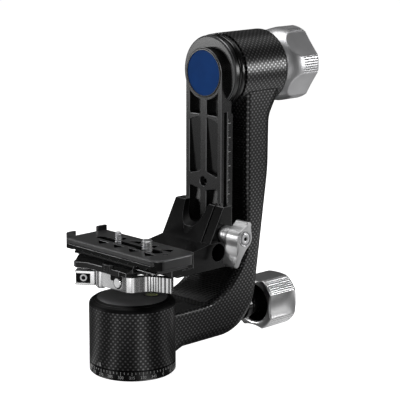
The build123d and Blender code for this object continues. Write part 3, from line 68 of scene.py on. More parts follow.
TILT_Z = middle_of("badge_disc", "Z")[0]            # height of the tilt axis
PAN_KNOB_Z = middle_of("pan_knob_cap", "Z")[0]      # height of the lower knob's axis
RING_R = reach_of("index_ring", "X")[1]             # index ring and pan housing
RING_TOP = reach_of("index_ring", "Z")[1]
TILT_HOUSING_R = 34.0


# ---------------------------------------------------------------- sizes and colours
def size(name, description, value, low, high):
    """A length that a user may change, between two limits."""
    return bpy.props.FloatProperty(name=name, description=description, default=value, min=low, max=high)


def tint(name, description, value):
    """A colour that a user may change."""
    return bpy.props.FloatVectorProperty(name=name, description=description, default=value, size=3, min=0.0,
                                         max=1.0, subtype="COLOR")


class HeadSizes(bpy.types.PropertyGroup):
    """Sizes of the fine forms, and the spacing of what repeats"""
    weave_across: size("Weave across", "Spacing of the upright tows, in millimetres", 2.2, 0.5, 10.0)
    weave_along: size("Weave along", "Spacing of the level tows, in millimetres", 2.45, 0.5, 10.0)
    rib_pitch: size("Rib pitch", "Distance between the strip's ribs, in millimetres", 2.15, 1.0, 6.0)
    rib_height: size("Rib height", "Height of the strip's ribs, in millimetres", 0.7, 0.1, 1.5)
    edge_chamfer: size("Edge chamfer", "Chamfer of machined edges, in millimetres", 0.5, 0.05, 2.0)
    tick_step: bpy.props.IntProperty(name="Degree step", description="Degrees between the ring's marks",
                                     default=5, min=1, max=30)
    numeral_step: bpy.props.IntProperty(name="Number step", description="Degrees between its numbers",
                                        default=15, min=5, max=90)
    numeral_height: size("Numeral height", "Height of the ring's numbers, in millimetres", 2.5, 0.5, 6.0)
    scale_step: size("Scale step", "Distance between the scale's marks, in millimetres", 1.28, 0.5, 5.0)
    knurl_depth: size("Knurl depth", "Depth of the grooves in the grips, in millimetres", 0.4, 0.0, 2.0)
    grip_grooves: bpy.props.IntProperty(name="Grip grooves", description="Grooves across the lever's end",
                                        default=8, min=1, max=20)


class HeadColours(bpy.types.PropertyGroup):
    """Colours of the finishes"""
    carbon_dark: tint("Carbon, dark", "Tows that turn away from the light", (0.004, 0.004, 0.004))
    carbon_light: tint("Carbon, light", "Tows that catch the light", (0.200, 0.200, 0.203))
    black_metal: tint("Black metal", "Black anodised aluminium", (0.003, 0.003, 0.0031))
    # painted sheen: the plate's black is lighter than the other black metal, standing in for the reflection
    # it catches
    plate_metal: tint("Plate metal", "Black anodised aluminium of the camera plate", (0.034, 0.034, 0.035))
    grey_metal: tint("Grey metal", "Dark grey disc on the pan housing", (0.10, 0.10, 0.103))
    silver: tint("Silver", "Clear anodised aluminium", (0.84, 0.84, 0.85))
    bright: tint("Bright silver", "Milled silver of the lever", (0.93, 0.93, 0.94))
    satin: tint("Satin silver", "Satin aluminium of the upper knob", (0.60, 0.60, 0.61))
    wing: tint("Wing silver", "Blasted aluminium of the wing knob", (0.58, 0.58, 0.585))
    steel: tint("Steel", "Turned steel", (0.60, 0.60, 0.61))
    # painted highlight: the chamfers are real cuts; their lighter, part-metallic colour stands in for edge
    # highlights
    chamfer: tint("Chamfer", "Cut edges of the black metal", (0.14, 0.14, 0.143))
    # painted shade: darker silver laid on the bottoms of grip grooves and on the wing knob's neck band
    groove: tint("Groove", "Bottoms of the grooves in the silver grips", (0.20, 0.20, 0.205))
    # painted shade: near-black colour laid on recesses, sockets, pockets and shaded faces where shade falls
    recess: tint("Recess", "Deep recesses in the black metal", (0.0012, 0.0012, 0.0013))
    blue: tint("Blue", "Blue disc in the head of the bar", (0.002, 0.046, 0.205))
    ink: tint("Ink", "Filled engraving", (0.55, 0.55, 0.55))
    rubber: tint("Rubber", "Ribbed strip", (0.003, 0.003, 0.003))
    plastic: tint("Plastic", "Brake shoes", (0.6, 0.6, 0.58))
    fluid: tint("Vial", "Fluid of the spirit level", (0.42, 0.50, 0.02))
    floor: tint("Floor", "Pale floor", (0.90, 0.90, 0.90))
    floor_shine: tint("Floor in the shine", "Floor as the metal mirrors it", (0.06, 0.06, 0.06))


# ---------------------------------------------------------------- finishes
class Finish:
    """One material, built up node by node."""

    def __init__(self, name):
        self.material = bpy.data.materials.new(name)
        self.material.use_nodes = True
        self.tree = self.material.node_tree
        self.tree.nodes.clear()
        self.shader = self.add("ShaderNodeBsdfPrincipled")
        self.end = self.add("ShaderNodeOutputMaterial")
        self.join(self.shader.outputs["BSDF"], self.end.inputs["Surface"])

    def add(self, kind, **settings):
        """One more node."""
        node = self.tree.nodes.new(kind)
        for key, value in settings.items():
            setattr(node, key, value)
        return node

    def join(self, source, target):
        """A link from one socket to another."""
        self.tree.links.new(source, target)

    def set(self, **values):
        """Fixed values of the shader, by the names of its inputs."""
        for key, value in values.items():
            self.shader.inputs[key.replace("_", " ")].default_value = value

    def math(self, operation, first, second=0.0, third=0.0):
        """A sum worked out at every point; each term is a number or a socket."""
        node = self.add("ShaderNodeMath", operation=operation)
        for index, value in enumerate((first, second, third)):
            if isinstance(value, (int, float)):
                node.inputs[index].default_value = value
            else:
                self.join(value, node.inputs[index])
        return node.outputs[0]

    def place(self):
        """Position on the piece, in millimetres."""
        coords = self.add("ShaderNodeTexCoord")
        scale = self.add("ShaderNodeVectorMath", operation="SCALE")
        scale.inputs["Scale"].default_value = 1000.0
        self.join(coords.outputs["Object"], scale.inputs[0])
        return scale.outputs["Vector"]

    def split(self, vector):
        """The three parts of a vector."""
        node = self.add("ShaderNodeSeparateXYZ")
        self.join(vector, node.inputs[0])
        return node.outputs

    def noise(self, vector, scale, detail=3.0, stretch=(1.0, 1.0, 1.0)):
        """Uneven value between 0 and 1, finer with a larger scale."""
        warp = self.add("ShaderNodeMapping")
        warp.inputs["Scale"].default_value = stretch
        self.join(vector, warp.inputs["Vector"])
        node = self.add("ShaderNodeTexNoise")
        node.inputs["Scale"].default_value = scale
        node.inputs["Detail"].default_value = detail
        self.join(warp.outputs["Vector"], node.inputs["Vector"])
        return node.outputs["Fac"]

    def blend(self, factor, first, second):
        """Mix of two colours, each one fixed or a socket."""
        node = self.add("ShaderNodeMix", data_type="RGBA")
        self.join(factor, node.inputs["Factor"])
        for socket, colour in ((node.inputs["A"], first), (node.inputs["B"], second)):
            if isinstance(colour, bpy.types.NodeSocket):
                self.join(colour, socket)
            else:
                socket.default_value = (*colour, 1.0)
        return node.outputs["Result"]

    def span(self, value, low, high):
        """Value from 0 to 1 brought between two limits."""
        node = self.add("ShaderNodeMapRange")
        node.inputs["To Min"].default_value = low
        node.inputs["To Max"].default_value = high
        self.join(value, node.inputs["Value"])
        return node.outputs["Result"]

    def bump(self, height, strength, distance, round_edges=0.0):
        """Fine relief from a height, over edges that look rounded."""
        node = self.add("ShaderNodeBump")
        node.inputs["Strength"].default_value = strength
        node.inputs["Distance"].default_value = distance * MM
        self.join(height, node.inputs["Height"])
        if round_edges:
            edge = self.add("ShaderNodeBevel", samples=4)
            edge.inputs["Radius"].default_value = round_edges * MM
            self.join(edge.outputs["Normal"], node.inputs["Normal"])
        self.join(node.outputs["Normal"], self.shader.inputs["Normal"])


SIDE_FACING = 0.62      # from this much of a normal along Y on, a face of the arm counts as its side


def weave_finish(name, across, along, dark, light):
    """Woven carbon under a clear coat; the cloth follows the round housings and the arm."""
    f = Finish(name)
    place = f.place()
    x, y, z = f.split(place)[:3]
    up = f.math("SUBTRACT", z, TILT_Z)

    def away(a, b):
        return f.math("SQRT", f.math("ADD", f.math("MULTIPLY", a, a), f.math("MULTIPLY", b, b)))
    pan_round = f.math("MULTIPLY", f.math("ARCTAN2", y, x), RING_R)
    tilt_round = f.math("MULTIPLY", f.math("ARCTAN2", y, up), TILT_HOUSING_R)
    in_pan = f.math("LESS_THAN", away(x, y), RING_R + 0.6)
    in_tilt = f.math("MULTIPLY", f.math("LESS_THAN", away(up, y), TILT_HOUSING_R + 0.3),
                     f.math("GREATER_THAN", x, 100.0))
    # along the arm, side faces use both of their own directions, the others the path and the width
    normal = f.add("ShaderNodeTexCoord").outputs["Normal"]
    is_side = f.math("GREATER_THAN", f.math("ABSOLUTE", f.split(normal)[1]), SIDE_FACING)
    not_side = f.math("SUBTRACT", 1.0, is_side)
    path = f.math("ADD", x, z)
    arm_u = f.math("ADD", f.math("MULTIPLY", is_side, x), f.math("MULTIPLY", not_side, y))
    arm_v = f.math("ADD", f.math("MULTIPLY", is_side, z), f.math("MULTIPLY", not_side, path))

    def choose(pan, tilt, arm):
        rest = f.math("SUBTRACT", 1.0, f.math("MAXIMUM", in_pan, in_tilt))
        total = f.math("MULTIPLY", arm, rest)
        total = f.math("MULTIPLY_ADD", pan, in_pan, total)
        return f.math("MULTIPLY_ADD", tilt, in_tilt, total)

    u = choose(pan_round, tilt_round, arm_u)
    v = choose(z, x, arm_v)
    su = f.math("SINE", f.math("MULTIPLY", u, pi / across))
    sv = f.math("SINE", f.math("MULTIPLY", v, pi / along))
    crossing = f.math("MULTIPLY", su, sv)
    tows = f.add("ShaderNodeValToRGB")
    tows.color_ramp.elements[0].position = 0.10
    tows.color_ramp.elements[1].position = 0.62
    f.join(f.math("MULTIPLY", crossing, f.math("ABSOLUTE", sv)), tows.inputs["Fac"])
    uneven = f.span(f.noise(place, 0.9, 2.0), 0.55, 1.2)
    lit = f.math("MULTIPLY", tows.outputs["Color"], uneven)
    f.join(f.blend(lit, dark, light), f.shader.inputs["Base Color"])
    f.join(lit, f.shader.inputs["Metallic"])
    f.join(f.span(lit, 0.34, 0.28), f.shader.inputs["Roughness"])
    f.set(Coat_Weight=0.08, Coat_Roughness=0.2, Specular_IOR_Level=0.4)
    f.bump(crossing, 0.12, 0.20)
    return f.material


def metal_finish(name, colour, rough, metallic=0.0, grain=0.12, stretch=(1.0, 1.0, 1.0), edge=0.0,
                 gloss=0.5):
    """Machined or anodised metal; stretch draws its fine grain out, edge makes its edges look rounded."""
    f = Finish(name)
    place = f.place()
    fine = f.noise(place, 2.4, 3.0, stretch)
    broad = f.noise(place, 0.06, 2.0)
    darker, lighter = (c * 0.86 for c in colour), (min(1.0, c * 1.22 + 0.002) for c in colour)
    f.join(f.blend(broad, darker, lighter), f.shader.inputs["Base Color"])
    f.join(f.span(fine, rough * (1 - grain), rough * (1 + grain)), f.shader.inputs["Roughness"])
    f.set(Metallic=metallic, Specular_IOR_Level=gloss)
    f.bump(fine, 0.16 * grain, 0.02, edge)
    return f.material


def fluid_finish(name, colour):
    """Tinted fluid of the spirit level."""
    f = Finish(name)
    f.set(Roughness=0.05, Transmission_Weight=0.35, Coat_Weight=0.5)
    ripple = f.noise(f.place(), 0.4, 1.0)
    f.join(f.blend(ripple, colour, (c * 0.8 for c in colour)), f.shader.inputs["Base Color"])
    return f.material


def make_finishes():
    """Every finish of the head by its short name."""
    sizes, colours = bpy.context.scene.head_sizes, bpy.context.scene.head_colours
    black, edge = colours.black_metal, sizes.edge_chamfer
    return {
        "carbon": weave_finish("carbon_weave", sizes.weave_across, sizes.weave_along,
                               colours.carbon_dark, colours.carbon_light),
        "black": metal_finish("black_anodised", black, 0.27, gloss=0.45),
        # painted sheen: a lighter copy of the black anodising for the plate
        "plate": metal_finish("plate_anodised_painted_sheen", colours.plate_metal, 0.30, gloss=0.6),
        "deep": metal_finish("black_anodised_deep", black, 0.24, gloss=0.26),
        # painted shade: the near-black finish that stands in for shade in recesses and on shaded faces
        "shadow": metal_finish("black_painted_shade", colours.recess, 0.45, gloss=0.12),
        # painted highlight on the chamfers of the black metal
        "chamfer": metal_finish("chamfer_painted_highlight", colours.chamfer, 0.32, metallic=0.6),
        # painted shade in the grooves of the silver grips
        "groove": metal_finish("groove_shade", colours.groove, 0.45, metallic=0.8),
        "gloss": metal_finish("black_polished", black, 0.16, edge=edge),
        "grey": metal_finish("grey_anodised", colours.grey_metal, 0.42, edge=edge),
        "silver": metal_finish("silver_blasted", colours.silver, 0.28, metallic=1.0, grain=0.04),
        "satin": metal_finish("silver_satin", colours.satin, 0.40, metallic=1.0, grain=0.05),
        "wing": metal_finish("silver_wing", colours.wing, 0.42, metallic=1.0),
        "bright": metal_finish("silver_milled", colours.bright, 0.17, metallic=0.9, grain=0.03,
                               stretch=(1.0, 1.0, 0.08)),
        "steel": metal_finish("turned_steel", colours.steel, 0.34, metallic=0.9, grain=0.04),
        "blue": metal_finish("blue_anodised", colours.blue, 0.45, gloss=0.04),
        "ink": metal_finish("filled_marks", colours.ink, 0.6),
        "rubber": metal_finish("ribbed_rubber", colours.rubber, 0.42, gloss=0.2),
        "plastic": metal_finish("brake_plastic", colours.plastic, 0.5, edge=0.2),
        "fluid": fluid_finish("level_fluid", colours.fluid),
    }


finishes = {}


def finish(name):
    """The finish with this short name; all are made when the first is asked for."""
    if not finishes:
        finishes.update(make_finishes())
    return finishes[name]


# ---------------------------------------------------------------- pieces
def paint(finish_name, *nodes):
    """Give solids that stay as they are their finish."""
    for node in nodes:
        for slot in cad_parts[node].material_slots:
            slot.material = finish(finish_name)


def add_piece(name, form, finish_name, body, replaces=(), sharp=35.0, weld=True):
    """Put a form into the scene as a smooth-shaded piece of one body, creased where it turns sharply."""
    if weld:
        bmesh.ops.remove_doubles(form, verts=form.verts, dist=0.001 * MM)
    bmesh.ops.recalc_face_normals(form, faces=form.faces)
    mesh = bpy.data.meshes.new(name)
    form.to_mesh(mesh)
    form.free()
    mesh.materials.append(finish(finish_name))
    piece = bpy.data.objects.new(name, mesh)
    bpy.context.collection.objects.link(piece)
    mesh.shade_smooth()
    mesh.set_sharp_from_angle(angle=radians(sharp))
    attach(piece, body)
    if replaces:
        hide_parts(*replaces)
    return piece


CHAMFER_SHARE = 0.42    # share of a neighbouring edge that a chamfer may take
IN_LINE = -0.7          # cosine from which two edges at a corner run on in line


def mark_chamfers(form, width, sharp, shadows, fine):
    """Weight of each outer edge's chamfer, smaller where short edges leave it little room."""
    weights = form.edges.layers.float.new("bevel_weight_edge")
    for edge in form.edges:
        if len(edge.link_faces) != 2 or edge.calc_face_angle_signed(0.0) < radians(sharp):
            continue
        room = width
        sides = [(face.calc_center_median() / MM, face.normal) for face in edge.link_faces]
        if shadows and any(shadows(*side) for side in sides):
            room *= fine
        for corner in edge.verts:
            along = (edge.other_vert(corner).co - corner.co).normalized()
            for side in corner.link_edges:
                if side is edge:
                    continue
                away = (side.other_vert(corner).co - corner.co).normalized()
                straight = along.dot(away)
                if straight > IN_LINE:
                    slant = max(0.25, sqrt(max(0.0, 1 - straight ** 2)))
                    room = min(room, CHAMFER_SHARE * side.calc_length() * slant)
        edge[weights] = max(room, 0.0) / width


def refined(node, finish_name, body, width, sharp=18.0, tools=(), shadows=None, fine=1.0):
    """A copy of a solid with its cuts made and its edges chamfered; shadows picks the faces that take painted
    shade.
    """
    form = bmesh.new()
    form.from_mesh(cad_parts[node].data)
    bmesh.ops.remove_doubles(form, verts=form.verts, dist=0.002 * MM)
    if tools:
        form = carved(form, *tools)
    bmesh.ops.dissolve_limit(form, angle_limit=radians(0.6), verts=form.verts, edges=form.edges)
    bmesh.ops.recalc_face_normals(form, faces=form.faces)
    mark_chamfers(form, width * MM, sharp, shadows, fine)
    piece = add_piece(node + "_finished", form, finish_name, body, (node,), sharp, weld=False)
    # chamfer faces take the lighter finish that paints a highlight on the edges
    piece.data.materials.append(finish("chamfer"))
    # faces that the shadows test picks get painted shade
    if shadows:
        darken(piece, shadows)
    edge = piece.modifiers.new("chamfers", "BEVEL")
    edge.width = width * MM
    edge.segments = 1
    edge.limit_method = "WEIGHT"
    edge.use_clamp_overlap = False
    edge.material = 1
    crisp = piece.modifiers.new("crisp_chamfers", "EDGE_SPLIT")
    crisp.split_angle = radians(sharp)
    return piece


def darken(piece, chosen, finish_name="shadow"):
    """Give the faces that a test picks, by their middle and direction, a darker finish that paints shade on
    them.
    """
    piece.data.materials.append(finish(finish_name))
    slot = len(piece.data.materials) - 1
    for face in piece.data.polygons:
        if chosen(face.center / MM, face.normal):
            face.material_index = slot


def loft(rings, closed_around=True, cap_start=False, cap_end=False):
    """Skin over rings of points in millimetres, each ring with the same number of points."""
    form = bmesh.new()
    rows = [[form.verts.new(Vector(point) * MM) for point in ring] for ring in rings]
    count = len(rows[0])
    last = count if closed_around else count - 1
    for low, high in zip(rows, rows[1:]):
        for i in range(last):
            j = (i + 1) % count
            form.faces.new((low[i], low[j], high[j], high[i]))
    if cap_start:
        form.faces.new(list(reversed(rows[0])))
    if cap_end:
        form.faces.new(rows[-1])
    return form


def turn_points(axis, centre, along, radius_at, count):
    """One ring of points about an axis; radius_at takes the angle in degrees."""
    ring = []
    for i in range(count):
        angle = 360.0 * i / count
        radius = radius_at(angle)
        a, b = radius * cos(radians(angle)), radius * sin(radians(angle))
        if axis == "X":
            ring.append((along, centre[0] + a, centre[1] + b))
        elif axis == "Y":
            ring.append((centre[0] + a, along, centre[1] + b))
        else:
            ring.append((centre[0] + a, centre[1] + b, along))
    return ring


def turned_rings(axis, centre, profile, count):
    """Round rings of points from pairs of position along the axis and radius."""
    return [turn_points(axis, centre, along, lambda angle, r=radius: r, count) for along, radius in profile]


def lathe(axis, centre, profile, count=96):
    """Turned form about a bore, over a profile that closes on itself."""
    rings = turned_rings(axis, centre, profile, count)
    return loft([*rings, rings[0]])


def plug(axis, centre, profile, count=48):
    """Turned form that is solid to its axis, with flat ends."""
    return loft(turned_rings(axis, centre, profile, count), cap_start=True, cap_end=True)


def join_forms(*forms):
    """One form out of several."""
    whole = bmesh.new()
    for form in forms:
        mesh = bpy.data.meshes.new("part")
        form.to_mesh(mesh)
        form.free()
        whole.from_mesh(mesh)
        bpy.data.meshes.remove(mesh)
    return whole


def prism(outline, low, high, axis="Z"):
    """Upright form over an outline; axis names the direction it is drawn out along."""
    def at(point, along):
        if axis == "X":
            return (along, point[0], point[1])
        if axis == "Y":
            return (point[0], along, point[1])
        return (point[0], point[1], along)
    return loft([[at(p, low) for p in outline], [at(p, high) for p in outline]], cap_start=True, cap_end=True)


def bar_form(x, y, z):
    """Block between two places along each axis."""
    return prism([(x[0], y[0]), (x[1], y[0]), (x[1], y[1]), (x[0], y[1])], z[0], z[1])


def carved(form, *tools):
    """The form with the tools' volumes taken out of it."""
    carriers = []
    for part in (form, *tools):
        mesh = bpy.data.meshes.new("blank")
        bmesh.ops.recalc_face_normals(part, faces=part.faces)
        part.to_mesh(mesh)
        part.free()
        carriers.append(bpy.data.objects.new("blank", mesh))
        bpy.context.collection.objects.link(carriers[-1])
    for tool in carriers[1:]:
        cut = carriers[0].modifiers.new("cut", "BOOLEAN")
        cut.operation = "DIFFERENCE"
        cut.solver = "EXACT"
        cut.object = tool
    graph = bpy.context.evaluated_depsgraph_get()
    mesh = bpy.data.meshes.new_from_object(carriers[0].evaluated_get(graph))
    result = bmesh.new()
    result.from_mesh(mesh)
    bpy.data.meshes.remove(mesh)
    for carrier in carriers:
        data = carrier.data
        bpy.data.objects.remove(carrier)
        bpy.data.meshes.remove(data)
    return result


def arc_through(first, second, third):
    """Centre and radius of the circle through three points."""
    (ax, ay), (bx, by), (cx, cy) = first, second, third
    area = 2 * (ax * (by - cy) + bx * (cy - ay) + cx * (ay - by))
    a2, b2, c2 = ax * ax + ay * ay, bx * bx + by * by, cx * cx + cy * cy
    middle_x = (a2 * (by - cy) + b2 * (cy - ay) + c2 * (ay - by)) / area
    middle_y = (a2 * (cx - bx) + b2 * (ax - cx) + c2 * (bx - ax)) / area
    return middle_x, middle_y, hypot(ax - middle_x, ay - middle_y)


# ---------------------------------------------------------------- stage
VIEW_AZIMUTH, VIEW_ELEVATION, VIEW_ROLL = -44.006, 12.478, 0.181     # direction of view, in degrees
VIEW_LENS, VIEW_SENSOR = 144.0, 36.0
VIEW_OFFSET = (-59.42, -148.551, 1413.315)      # the origin's place before the camera: right, up, forward


def view_directions():
    """The camera's right, up and forward directions."""
    az, el, roll = radians(VIEW_AZIMUTH), radians(VIEW_ELEVATION), radians(VIEW_ROLL)
    forward = Vector((-sin(az) * cos(el), cos(az) * cos(el), -sin(el)))
    right = Vector((cos(az), sin(az), 0.0))
    up = right.cross(forward)
    return (right * cos(roll) + up * sin(roll), up * cos(roll) - right * sin(roll), forward)


# The metal mirrors a dark floor with pools of light on it. Bearings are in degrees from the camera's side.
# Each glow has a bearing, a spread and a level.
GLOWS = ((-93.0, 9.0, 0.60), (-40.0, 8.0, 0.80), (24.0, 11.0, 1.00), (84.0, 10.0, 0.35))
GLOW_ALL_OVER = 0.02
GLOW_BESIDE = (190.0, 400.0)            # the floor brightens over this stretch to the right
GLOW_BESIDE_END = (560.0, 950.0)        # and darkens again over this one
GLOW_BESIDE_DEPTH = (-120.0, 150.0)     # middle and spread of that patch towards the camera
GLOW_UNDER = ((150.0, 35.0), (-115.0, 40.0), 0.75)      # under the pan knob: to the right, forward, level
GLOW_AHEAD = (275.0, 320.0)             # the floor brightens over this distance in front of the head
GLOW_AHEAD_BEARING = (-17.0, 24.0)
GLOW_AHEAD_LEVEL = 1.7
FLOOR_HALF, FLOOR_Z = 4000.0, (-20.0, -0.01)
FLOOR_SEEN = 0.97                       # how bright the floor looks by itself
ROOM_LIGHT = (0.035, 0.07)              # level of the room around the head and behind it
ROOM_BEHIND = 0.5                       # the room brightens from this cosine off straight ahead
LAMP_AIM = Vector((0.07, 0.0, 0.14))
LAMPS = (       # bearing, distance, height, width and length in metres, brightness
    ("left_softbox", -93.0, 1.1, 0.29, 0.40, 0.30, 9.5),
    ("right_softbox", 90.0, 1.1, 0.35, 0.28, 0.28, 11.0),
    ("rear_right_softbox", 135.0, 0.90, 1.00, 0.50, 0.50, 0.50),
    ("rear_left_softbox", -120.0, 0.85, 0.92, 0.24, 0.24, 6.0),
    ("front_softbox", -8.0, 1.25, 0.62, 0.60, 0.30, 3.5),
    ("top_softbox", 180.0, 0.1, 1.35, 1.00, 0.60, 4.0),
)


def floor_finish(colours, right):
    """Pale floor that the metal mirrors as a dark one with soft pools of light."""
    f = Finish("pale_floor")
    f.set(Roughness=0.9, Specular_IOR_Level=0.1, Emission_Color=(1.0, 1.0, 1.0, 1.0))
    place = f.place()
    pale = f.blend(f.noise(place, 0.01, 2.0), colours.floor, (c * 0.985 for c in colours.floor))
    rays = f.add("ShaderNodeLightPath")
    shine = rays.outputs["Is Glossy Ray"]
    f.join(f.blend(shine, pale, colours.floor_shine), f.shader.inputs["Base Color"])
    x, y = f.split(place)[:2]
    to_side = f.math("ADD", f.math("MULTIPLY", x, right.x), f.math("MULTIPLY", y, right.y))
    to_front = f.math("ADD", f.math("MULTIPLY", x, right.y), f.math("MULTIPLY", y, -right.x))
    reach = f.math("SQRT", f.math("ADD", f.math("MULTIPLY", x, x), f.math("MULTIPLY", y, y)))
    bearing = f.math("DEGREES", f.math("ARCTAN2", to_side, to_front))

    def pool(value, middle, spread):
        off = f.math("DIVIDE", f.math("SUBTRACT", value, middle), spread)
        return f.math("EXPONENT", f.math("MULTIPLY", f.math("MULTIPLY", off, off), -1.0))

    def climb(value, start, end):
        step = f.add("ShaderNodeMapRange", interpolation_type="SMOOTHSTEP")
        step.inputs["From Min"].default_value, step.inputs["From Max"].default_value = start, end
        f.join(value, step.inputs["Value"])
        return step.outputs["Result"]

    total = GLOW_ALL_OVER
    for side, spread, level in GLOWS:
        total = f.math("MULTIPLY_ADD", pool(bearing, side, spread), level, total)
    beside = f.math("MULTIPLY", climb(to_side, *GLOW_BESIDE), pool(to_front, *GLOW_BESIDE_DEPTH))
    beside = f.math("MULTIPLY", beside, f.math("SUBTRACT", 1.0, climb(to_side, *GLOW_BESIDE_END)))
    total = f.math("MAXIMUM", total, beside)
    across, along, level = GLOW_UNDER
    under = f.math("MULTIPLY", pool(to_side, *across), pool(to_front, *along))
    total = f.math("MAXIMUM", total, f.math("MULTIPLY", under, level))
    ahead = f.math("MULTIPLY", climb(reach, *GLOW_AHEAD), pool(bearing, *GLOW_AHEAD_BEARING))
    total = f.math("MAXIMUM", total, f.math("MULTIPLY", ahead, GLOW_AHEAD_LEVEL))
    glow = f.math("MULTIPLY", shine, total)
    f.join(f.math("MULTIPLY_ADD", rays.outputs["Is Camera Ray"], FLOOR_SEEN, glow),
           f.shader.inputs["Emission Strength"])
    return f.material


class HEAD_OT_stage(bpy.types.Operator):
    """Add the floor, the studio light and the camera"""
    bl_idname = "tripod_head.stage"
    bl_label = "Stage"

    def floor(self, context, right):
        side = (-FLOOR_HALF, FLOOR_HALF)
        form = bar_form(side, side, FLOOR_Z)
        mesh = bpy.data.meshes.new("floor")
        form.to_mesh(mesh)
        form.free()
        mesh.materials.append(floor_finish(context.scene.head_colours, right))
        floor = bpy.data.objects.new("floor", mesh)
        context.collection.objects.link(floor)

    def room(self, scene, ahead):
        """White to the camera and through the fluid, dim to everything else."""
        world = bpy.data.worlds.new("studio")
        world.use_nodes = True
        tree = world.node_tree
        tree.nodes.clear()
        out = tree.nodes.new("ShaderNodeOutputWorld")
        white = tree.nodes.new("ShaderNodeBackground")
        dim = tree.nodes.new("ShaderNodeBackground")
        mix = tree.nodes.new("ShaderNodeMixShader")
        rays = tree.nodes.new("ShaderNodeLightPath")
        either = tree.nodes.new("ShaderNodeMath")
        either.operation = "MAXIMUM"
        white.inputs["Strength"].default_value = 1.0
        for shader in (white, dim):
            shader.inputs["Color"].default_value = (1.0, 1.0, 1.0, 1.0)
        where = tree.nodes.new("ShaderNodeTexCoord")
        behind = tree.nodes.new("ShaderNodeVectorMath")
        behind.operation = "DOT_PRODUCT"
        behind.inputs[1].default_value = ahead
        fade = tree.nodes.new("ShaderNodeMapRange")
        fade.inputs["From Min"].default_value = ROOM_BEHIND
        fade.inputs["To Min"].default_value, fade.inputs["To Max"].default_value = ROOM_LIGHT
        for source, target in ((where.outputs["Generated"], behind.inputs[0]),
                               (behind.outputs["Value"], fade.inputs["Value"]),
                               (fade.outputs["Result"], dim.inputs["Strength"]),
                               (rays.outputs["Is Camera Ray"], either.inputs[0]),
                               (rays.outputs["Is Transmission Ray"], either.inputs[1]),
                               (either.outputs[0], mix.inputs[0]),
                               (dim.outputs[0], mix.inputs[1]),
                               (white.outputs[0], mix.inputs[2]),
                               (mix.outputs[0], out.inputs["Surface"])):
            tree.links.new(source, target)
        scene.world = world

    def camera(self, context, right, up, forward):
        data = bpy.data.cameras.new("camera")
        data.lens, data.sensor_width = VIEW_LENS, VIEW_SENSOR
        data.clip_end = 50.0
        camera = bpy.data.objects.new("camera", data)
        context.collection.objects.link(camera)
        x, y, z = VIEW_OFFSET
        place = -(right * x + up * y + forward * z) * MM
        turn = Matrix((right, up, -forward)).transposed().to_4x4()
        camera.matrix_world = Matrix.Translation(place) @ turn
        context.scene.camera = camera

    def lamp(self, context, name, place, width, length, brightness):
        data = bpy.data.lights.new(name, "AREA")
        data.shape = "RECTANGLE"
        data.size, data.size_y = width, length
        data.energy = brightness * pi * width * length
        lamp = bpy.data.objects.new(name, data)
        context.collection.objects.link(lamp)
        lamp.location = place
        lamp.rotation_euler = (LAMP_AIM - place).to_track_quat("-Z", "Y").to_euler()

    def execute(self, context):
        context.scene.view_settings.view_transform = "Standard"
        right, up, forward = view_directions()
        level_right = Vector((right.x, right.y, 0)).normalized()
        level_ahead = Vector((forward.x, forward.y, 0)).normalized()
        self.floor(context, level_right)
        self.room(context.scene, level_ahead)
        self.camera(context, right, up, forward)
        for name, bearing, distance, height, width, length, brightness in LAMPS:
            turn = radians(bearing)
            place = LAMP_AIM + (level_right * sin(turn) - level_ahead * cos(turn)) * distance
            place.z = height
            self.lamp(context, name, place, width, length, brightness)
        return {"FINISHED"}


# ---------------------------------------------------------------- base ring
def tick_form(angle, radius, low, high, width):
    """A flat mark that follows the ring."""
    half = degrees(width / 2 / radius)
    rows = []
    for z in (low, high):
        rows.append([(radius * cos(radians(a)), radius * sin(radians(a)), z)
                     for a in (angle - half, angle + half)])
    return loft(rows, closed_around=False)


def numeral_form(text, angle, radius, base_z, height):
    """Digits laid round the ring and read from outside."""
    curve = bpy.data.curves.new("digits", "FONT")
    curve.body = text
    curve.align_x = "CENTER"
    curve.size = 1.0
    curve.fill_mode = "FRONT"
    carrier = bpy.data.objects.new("digits", curve)
    bpy.context.collection.objects.link(carrier)
    bpy.context.view_layer.update()
    mesh = bpy.data.meshes.new_from_object(carrier)
    bpy.data.objects.remove(carrier)
    form = bmesh.new()
    form.from_mesh(mesh)
    bpy.data.meshes.remove(mesh)
    scale = height / max(v.co.y for v in form.verts)
    for v in form.verts:
        around = radians(angle) + v.co.x * scale / radius
        v.co = Vector((radius * cos(around), radius * sin(around), base_z + v.co.y * scale)) * MM
    return form


ZERO_ANGLE = -87.5                  # where the ring's zero lies
INK_R = RING_R + 0.03               # the marks stand this far proud of the ring
LONG_TICK, SHORT_TICK = 3.3, 2.4    # how far the marks reach down from the ring's top
TICK_TOP, TICK_WIDTH = RING_TOP - 0.5, 0.42
NUMERAL_FOOT = 2.5                  # height at which the numbers stand
POINTER_ANGLE, POINTER_Z, POINTER_WIDTH = 176.2, (10.3, 13.0), 0.45     # line on the pan housing


class HEAD_OT_base_ring(bpy.types.Operator):
    """Finish the index ring with its degree marks and numbers"""
    bl_idname = "tripod_head.base_ring"
    bl_label = "Index Ring"

    def execute(self, context):
        sizes = context.scene.head_sizes
        paint("black", "index_ring")
        marks = []
        for n in range(0, 360, sizes.tick_step):
            angle = n + ZERO_ANGLE
            long_mark = n % sizes.numeral_step == 0
            low = RING_TOP - (LONG_TICK if long_mark else SHORT_TICK)
            marks.append(tick_form(angle, INK_R, low, TICK_TOP, TICK_WIDTH))
            if long_mark:
                marks.append(numeral_form(str(n), angle, INK_R, NUMERAL_FOOT, sizes.numeral_height))
        add_piece("ring_marks", join_forms(*marks), "ink", "base")
        paint("steel", "thread_insert", "pan_spindle", "spindle_screws", "pan_bearing_inner_rings",
              "pan_spindle_nut")
        pointer = tick_form(POINTER_ANGLE, INK_R + 0.01, *POINTER_Z, POINTER_WIDTH)
        add_piece("pointer_mark", pointer, "ink", "arm")
        return {"FINISHED"}


